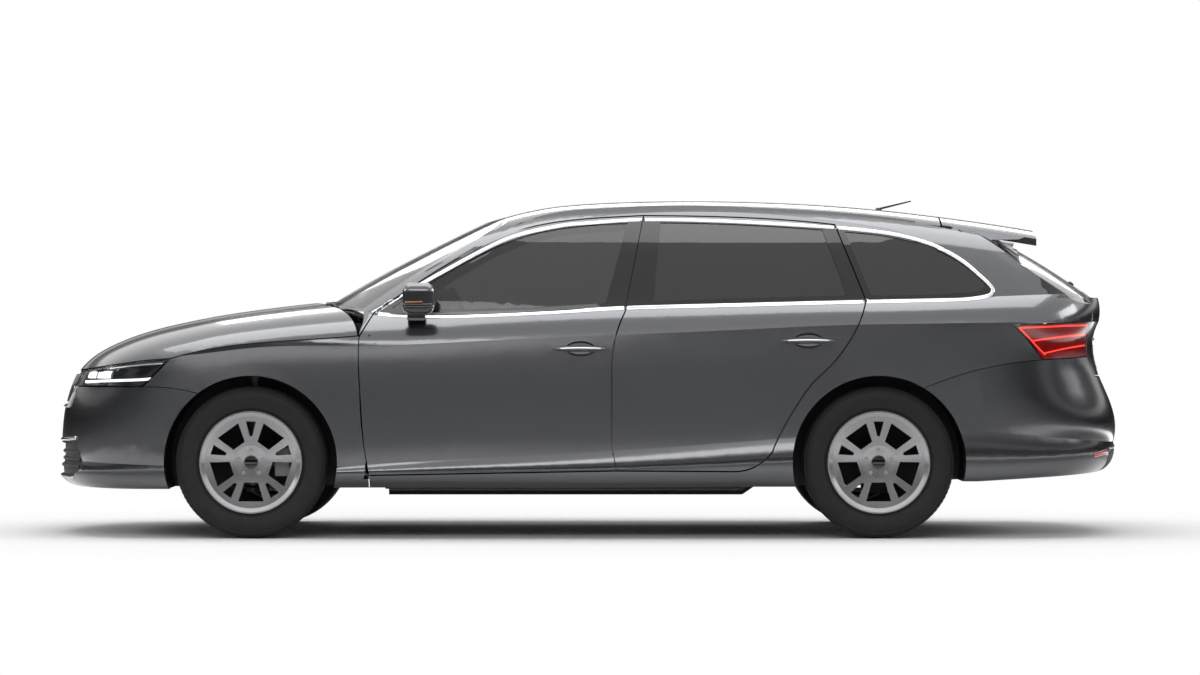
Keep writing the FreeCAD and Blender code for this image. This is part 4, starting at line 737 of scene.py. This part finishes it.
for wheel, (x, y) in WHEELS.items():
    side, view = (1, "left") if x > 0 else (-1, "right")
    hub = on_skin(skin_of("rim_" + wheel), view, y + HUB_FACE, AXLE_HEIGHT)
    bm = bmesh.new()
    stud(bm, 48, 0.0315, 0.0285, side, (hub.x + side * 0.002, y, AXLE_HEIGHT))
    piece("wheel_cap_" + wheel, bm, "wheel_" + wheel, "black_trim", GLOSS_BLACK, bevel=0.002)
    bm = bmesh.new()
    for number in range(BOLTS):
        turn = 2 * pi * number / BOLTS + pi / 2
        stud(bm, 6, 0.0098, 0.0092, side,
             (hub.x - side * 0.004, y + BOLT_CIRCLE * cos(turn), AXLE_HEIGHT + BOLT_CIRCLE * sin(turn)))
    piece("wheel_bolts_" + wheel, bm, "wheel_" + wheel, "rim_alloy", DISC_METAL, bevel=0.0012,
          smooth=False)

# %% [markdown]
# ## Lamps
# A lamp is a clear or red lens over a dark housing with bright parts in it. The CAD solid stays as
# the lens. A copy of it, drawn in from its surface, is the housing, and the light lines are laid
# between the two.

# %% Housings inside the lens solids
def welded(node):
    """A CAD node's mesh in a bmesh, with the verts that share a place joined."""
    bm = bmesh.new()
    bm.from_mesh(nodes[node].data)
    bmesh.ops.remove_doubles(bm, verts=bm.verts, dist=1e-5)
    return bm


def housing(name, node, depth, material, slot_name):
    """A copy of a CAD solid with every face moved inwards by a depth."""
    bm = welded(node)
    bm.normal_update()
    moves = {vert: vert.normal * depth for vert in bm.verts}
    for vert, move in moves.items():
        vert.co -= move
    piece(name, bm, "shell", slot_name, material, smooth=False)


housing("headlamp_housings", "headlamps", 0.008, GLOSS_BLACK, "black_trim")
housing("tail_lamp_housings", "tail_lamps", 0.006, RED_REFLECTOR, "lamp_rear")

LAMP_SKIN = skin_of("headlamps")
DAY_LINE = [(-1.838, 0.688), (-1.90, 0.680), (-2.00, 0.676), (-2.10, 0.672), (-2.18, 0.668)]
BLADE_LINE = [(-1.815, 0.748), (-1.90, 0.743), (-2.02, 0.730), (-2.13, 0.716), (-2.19, 0.708)]
for name, points, width, material in (("day_light", DAY_LINE, 0.011, WHITE_LIGHT),
                                      ("lamp_blade", BLADE_LINE, 0.006, CHROME)):
    bm = strip(LAMP_SKIN, "left", smooth_line(points, 60), width, lift=-0.004, crown=0.002)
    pair("head_" + name, bm, "shell", "lamp_front", material, thick=0.003)
for name, low, high in (("dip", 0.60, 0.676), ("main", 0.69, 0.766)):
    bm = patch(LAMP_SKIN, "front", [(low, 0.684), (high, 0.684)], [(low, 0.716), (high, 0.716)],
               columns=12, rows=6, lift=-0.005, crown=0.003)
    pair("head_%s_light" % name, bm, "shell", "lamp_front", WHITE_LIGHT, thick=0.003, bevel=0.002)

TAIL_SKIN = skin_of("tail_lamps")
for number, (points, width) in enumerate((
        ([(1.845, 0.901), (1.95, 0.905), (2.06, 0.910), (2.17, 0.913)], 0.007),
        ([(1.900, 0.845), (1.98, 0.856), (2.07, 0.866), (2.16, 0.873)], 0.007),
        ([(1.955, 0.792), (2.02, 0.806), (2.09, 0.818), (2.16, 0.826)], 0.006),
        ([(1.845, 0.901), (1.885, 0.862), (1.925, 0.820), (1.960, 0.786)], 0.006))):
    bm = strip(TAIL_SKIN, "left", smooth_line(points, 50), width, lift=-0.003, crown=0.0015)
    pair("tail_light_line_%d" % number, bm, "shell", "lamp_rear", RED_LIGHT, thick=0.002)

# %% [markdown]
# ## Nose
# The upper grille has upright slats in a bright frame, and a bright blade runs over the lower intake
# and round the corners. The intake has level bars and a bright lip.

# %% Grille slats, intake bars, frame and blade
GRILLE_SKIN = skin_of("front_grille")
SLATS = 22
for number in range(SLATS):
    x = -0.43 + 0.86 * number / (SLATS - 1)
    low = 0.578 if abs(x) < 0.415 else 0.60
    line = smooth_line([(x, low), (x, 0.64), (x, 0.698)], 14)
    bm = strip(GRILLE_SKIN, "front", line, 0.011, lift=0.006, crown=0.006)
    piece("grille_slat_%d" % number, bm, "shell", "black_trim", GLOSS_BLACK, thick=0.012)
for number, z in enumerate((0.300, 0.330, 0.360)):
    line = smooth_line([(-0.60, z), (0, z), (0.60, z)], 90)
    bm = strip(GRILLE_SKIN, "front", line, 0.012, lift=0.006, crown=0.004)
    piece("intake_bar_%d" % number, bm, "shell", "black_trim", SATIN_BLACK, thick=0.012)
BUMPER_SKIN = skin_of("front_bumper")
line = smooth_line([(-0.72, 0.424), (-0.5, 0.415), (0, 0.408), (0.5, 0.415), (0.72, 0.424)], 160)
bm = strip(BUMPER_SKIN, "nose", line, 0.016, lift=0.003, crown=0.003)
piece("bumper_blade", bm, "shell", "bright_trim", CHROME, thick=0.006)
FRAME = [(-0.483, 0.70), (-0.483, 0.618), (-0.424, 0.561), (0, 0.561), (0.424, 0.561), (0.483, 0.618),
         (0.483, 0.70)]
bm = strip(BUMPER_SKIN, "front", cornered(FRAME, 40), 0.014, lift=0.003)
piece("grille_frame", bm, "shell", "bright_trim", CHROME, thick=0.008)
bm = strip(BUMPER_SKIN, "front", smooth_line([(-0.55, 0.250), (0, 0.250), (0.55, 0.250)], 80), 0.012,
           lift=0.003)
piece("intake_lip", bm, "shell", "bright_trim", CHROME, thick=0.006)

# %% [markdown]
# ## Mirrors and handles
# Each mirror has a glass in its rear face, a black lower half and a side lamp line. The bow handles
# are part of the doors, so only their bright inlays are added.

# %% Mirror glass and indicator line
MIRROR_GLASS = finish("mirror_glass", (0.75, 0.77, 0.79), rough=0.03, metal=1.0, vary=0.0)
AMBER = finish("amber_lens", (0.5, 0.16, 0.02), rough=0.15, Coat_Weight=1.0)
MIRROR_SKIN = skin_of("mirror_left")
bm = patch(MIRROR_SKIN, "rear", [(0.892, 0.990), (0.985, 0.990)], [(0.892, 1.068), (0.985, 1.068)],
           columns=14, rows=12, lift=0.0015)
pair("mirror_glass", bm, "front_door_left", "side_glass", MIRROR_GLASS, thick=0.003, bevel=0.001)
bm = patch(MIRROR_SKIN, "front", [(0.885, 0.968), (0.992, 0.968)], [(0.885, 1.004), (0.992, 1.004)],
           columns=24, rows=8, lift=0.0012)
pair("mirror_foot_cover", bm, "front_door_left", "black_trim", GLOSS_BLACK, thick=0.002)
bm = patch(MIRROR_SKIN, "left", [(-0.782, 0.962), (-0.656, 0.962)], [(-0.782, 1.004), (-0.656, 1.004)],
           columns=24, rows=8, lift=0.0012)
pair("mirror_side_cover", bm, "front_door_left", "black_trim", GLOSS_BLACK, thick=0.002)
bm = strip(MIRROR_SKIN, "left", smooth_line([(-0.775, 1.010), (-0.70, 1.012)], 14), 0.006, lift=0.001)
pair("mirror_indicator", bm, "front_door_left", "lamp_front", AMBER, thick=0.002)

# %% Handle inlays
for door, y, z in (("front", -0.029, 0.812), ("rear", 0.943, 0.846)):
    door_skin = skin_of("door_%s_left" % door)
    line = smooth_line([(y - 0.088, z + 0.001), (y, z + 0.004), (y + 0.088, z + 0.001)], 40)
    bm = strip(door_skin, "left", line, 0.0055, lift=0.001, crown=0.0012)
    pair("handle_inlay_" + door, bm, door + "_door_left", "bright_trim", CHROME, thick=0.002)

# %% [markdown]
# ## Wipers and the fuel flap
# The arms of the wipers lie low on the windscreen, ahead of the driver. Each is a thin strip with a
# crown, and its rubber blade lies under it. The rear one is parked over the foot of the rear glass.

# %% Wipers
SCREEN_SKIN = skin_of("windscreen")
for number, points in enumerate(([(0.585, -1.070), (0.40, -1.110), (0.20, -1.142), (0.02, -1.150)],
                                 [(-0.02, -1.158), (-0.20, -1.135), (-0.38, -1.105), (-0.53, -1.072)])):
    line = smooth_line(points, 60)
    bm = strip(SCREEN_SKIN, "top", line, 0.009, lift=0.006, crown=0.001)
    piece("wiper_blade_%d" % number, bm, "shell", "black_trim", SATIN_BLACK, thick=0.006)
    bm = strip(SCREEN_SKIN, "top", [p + Vector((0, -0.012)) for p in line[:46]], 0.014, lift=0.018,
               crown=0.004)
    piece("wiper_arm_%d" % number, bm, "shell", "black_trim", GLOSS_BLACK, thick=0.006)
TAIL_GLASS_SKIN = skin_of("tailgate_glass", "tailgate")
line = smooth_line([(-0.01, 1.085), (0.12, 1.098), (0.30, 1.102)], 50)
bm = strip(TAIL_GLASS_SKIN, "rear", line, 0.013, lift=0.010, crown=0.004)
piece("rear_wiper_arm", bm, "tailgate", "black_trim", GLOSS_BLACK, thick=0.008)
line = smooth_line([(0.06, 1.088), (0.20, 1.096), (0.36, 1.100)], 50)
bm = strip(TAIL_GLASS_SKIN, "rear", line, 0.008, lift=0.004, crown=0.001)
piece("rear_wiper_blade", bm, "tailgate", "black_trim", SATIN_BLACK, thick=0.004)

# %% Fuel flap on the right flank
FLANK_SKIN = skin_of("body_side_right")
FLAP = [(1.50, 0.745), (1.50, 0.875), (1.515, 0.89), (1.645, 0.89), (1.66, 0.875), (1.66, 0.745),
        (1.645, 0.73), (1.515, 0.73), (1.50, 0.745)]
line = cornered(FLAP, 20)
line.append(line[0].copy())
bm = strip(FLANK_SKIN, "right", line, 0.0035, lift=0.0004, crown=0.0)
piece("fuel_flap_seam", bm, "shell", "black_trim", SATIN_BLACK, thick=0.0015)

# %% [markdown]
# ## Tail
# The number plate sits in a recess of the tailgate and stays blank. Below, the bumper has a black
# valance, two low reflectors and a bright line. The third brake light is a slim red lens under the
# spoiler.

# %% Plate, valance, reflectors
GATE_SKIN = skin_of("tailgate")
PLATE = finish("blank_plate", (0.62, 0.62, 0.6), rough=0.35, grain=0.05)
bm = patch(GATE_SKIN, "rear", [(-0.30, 0.712), (0.30, 0.712)], [(-0.30, 0.838), (0.30, 0.838)],
           columns=40, rows=10, lift=0.0008)
piece("plate_recess", bm, "tailgate", "black_trim", SATIN_BLACK, thick=0.002, bevel=0.001)
bm = patch(GATE_SKIN, "rear", [(-0.26, 0.722), (0.26, 0.722)], [(-0.26, 0.828), (0.26, 0.828)],
           columns=30, rows=8, lift=0.004)
piece("blank_plate", bm, "tailgate", "black_trim", PLATE, thick=0.002, bevel=0.0008)
bm = strip(GATE_SKIN, "rear", smooth_line([(-0.29, 0.852), (0, 0.856), (0.29, 0.852)], 70), 0.014,
           lift=0.004, crown=0.004)
piece("tailgate_grip", bm, "tailgate", "bright_trim", CHROME, thick=0.006)
VALANCE_SKIN = skin_of("rear_bumper")
bm = patch(VALANCE_SKIN, "tail", [(-0.62, 0.262), (0, 0.262), (0.62, 0.262)],
           [(-0.62, 0.362), (0, 0.372), (0.62, 0.362)], columns=80, rows=10, lift=0.0015)
piece("rear_valance", bm, "shell", "black_trim", SATIN_BLACK, thick=0.002, bevel=0.001)
bm = strip(VALANCE_SKIN, "tail", smooth_line([(-0.60, 0.376), (0, 0.386), (0.60, 0.376)], 120), 0.009,
           lift=0.002, crown=0.002)
piece("rear_bright_line", bm, "shell", "bright_trim", CHROME, thick=0.004)
line = smooth_line([(2.185, 0.352), (2.225, 0.358), (2.262, 0.366)], 24)
bm = strip(VALANCE_SKIN, "left", line, 0.020, lift=0.002, crown=0.002)
pair("rear_reflector", bm, "shell", "lamp_rear", RED_REFLECTOR, thick=0.003)
bm = strip(GATE_SKIN, "rear", smooth_line([(-0.17, 1.330), (0, 1.334), (0.17, 1.330)], 40), 0.010,
           lift=0.001, crown=0.001)
piece("third_brake_light", bm, "tailgate", "lamp_rear", RED_REFLECTOR, thick=0.003)

# %% [markdown]
# ## Seats
# A seat is foam under a tight cover. Each CAD seat is drawn in a little and meshed evenly, and then
# air pressure blows it up against its own cloth, with a cap on how far a point may move. The middle
# is pressed in between the side bolsters, and the sewn seams come last, because the even mesh would
# lose them.

# %% Cloth under pressure
PAD_VOXEL, PAD_DRAWN_IN, PAD_CAP, PAD_PRESSURE, PAD_FRAMES = 0.014, 0.016, 0.022, 4.0, 20


def seam(distance, depth, width):
    """How deep a sewn seam pulls the cover in at a distance from its line."""
    return depth * exp(-((distance / width) ** 2))


def blown_up(pad):
    """Where the verts are after air pressure has pushed the cover out for some frames."""
    puff = pad.modifiers.new("puff", "CLOTH")
    puff.settings.use_pressure = True
    puff.settings.uniform_pressure_force = PAD_PRESSURE
    puff.settings.effector_weights.gravity = 0.0
    puff.point_cache.frame_start = 1
    puff.point_cache.frame_end = PAD_FRAMES
    for frame_number in range(1, PAD_FRAMES + 1):
        scene.frame_set(frame_number)
    graph = bpy.context.evaluated_depsgraph_get()
    blown = bpy.data.meshes.new_from_object(pad.evaluated_get(graph))
    pad.modifiers.clear()
    scene.frame_set(1)
    return [vert.co.copy() for vert in blown.vertices]


def upholstered(node, shape):
    """A padded copy of a CAD seat: even mesh, pressure, cap, then the given shape per vert."""
    pad = object_of(node + "_padded", welded(node))
    even = pad.modifiers.new("even", "REMESH")
    even.mode = "VOXEL"
    even.voxel_size = PAD_VOXEL
    graph = bpy.context.evaluated_depsgraph_get()
    mesh = bpy.data.meshes.new_from_object(pad.evaluated_get(graph))
    pad.modifiers.clear()
    pad.data = mesh
    foot = min(vert.co.z for vert in mesh.vertices)
    ways = [vert.normal.copy() for vert in mesh.vertices]
    for vert, way in zip(mesh.vertices, ways):
        vert.co -= way * PAD_DRAWN_IN
    starts = [vert.co.copy() for vert in mesh.vertices]
    ends = blown_up(pad)
    for vert, start, end, way in zip(mesh.vertices, starts, ends, ways):
        move = end - start
        if move.length > PAD_CAP:
            move *= PAD_CAP / move.length
        vert.co = start + move - way * shape(start, way)
        vert.co.z = max(vert.co.z, foot)
    mesh.shade_smooth()
    mesh.materials.clear()
    mesh.materials.append(CLOTH)
    finer = pad.modifiers.new("finer", "SUBSURF")
    finer.levels = finer.render_levels = 1
    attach(pad, "shell")
    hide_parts(node)
    print(node, "padded:", len(mesh.vertices), "verts")


# %% Front seats and rear bench
FACES_SITTER, NEARLY_FACES_SITTER = 0.4, 0.2
SEAT_MIDDLE, BENCH_PLACE, SEAM_WIDTH = 0.37, 0.39, 0.012


def hollow(distance, depth, half_width):
    """How deep the middle of a seat is pressed in at a distance from its centre line."""
    return depth * max(0.0, 1 - (distance / half_width) ** 2)


def front_shape(place, way):
    """Centre panel and seams of the two front seats."""
    if way.z - way.y <= FACES_SITTER:
        return 0.0
    aside = abs(abs(place.x) - SEAT_MIDDLE)
    return hollow(aside, 0.016, 0.17) + seam(aside - 0.155, 0.007, SEAM_WIDTH)


def bench_shape(place, way):
    """Two wide outer places, a narrow middle one, and the seams between them."""
    aside = abs(place.x)
    facing = way.z - way.y
    pressed = hollow(aside - BENCH_PLACE, 0.014, 0.2) if facing > FACES_SITTER else 0.0
    sewn = seam(aside - 0.17, 0.008, SEAM_WIDTH) if facing > NEARLY_FACES_SITTER else 0.0
    return pressed + sewn


upholstered("front_seats", front_shape)
upholstered("rear_bench", bench_shape)

# %% [markdown]
# ## Inside the doors
# Each door has a moulded card below its window, with an armrest along it. They are cast onto the
# inner face of the door, from the cabin.

# %% Door cards and armrests
CARDS = {
    "front": ([(-0.90, 0.38), (-0.40, 0.36), (0.05, 0.37)],
              [(-0.87, 0.90), (-0.40, 0.915), (0.08, 0.93)],
              [(-0.66, 0.70), (-0.30, 0.70), (-0.02, 0.72)]),
    "rear": ([(0.16, 0.36), (0.40, 0.36), (0.60, 0.37)], [(0.19, 0.94), (0.60, 0.955), (1.02, 0.965)],
             [(0.24, 0.72), (0.50, 0.73), (0.74, 0.75)]),
}
for door, (low, high, rest) in CARDS.items():
    inner = skin_of("door_%s_left" % door)
    bm = patch(inner, "cabin", low, high, columns=60, rows=30, lift=0.004)
    pair("door_card_" + door, bm, door + "_door_left", "cabin_trim", TRIM, thick=0.003, bevel=0.001)
    bm = strip(inner, "cabin", smooth_line(rest, 60), 0.075, lift=0.006, crown=0.045, rows=10)
    pair("armrest_" + door, bm, door + "_door_left", "cabin_trim", TRIM)
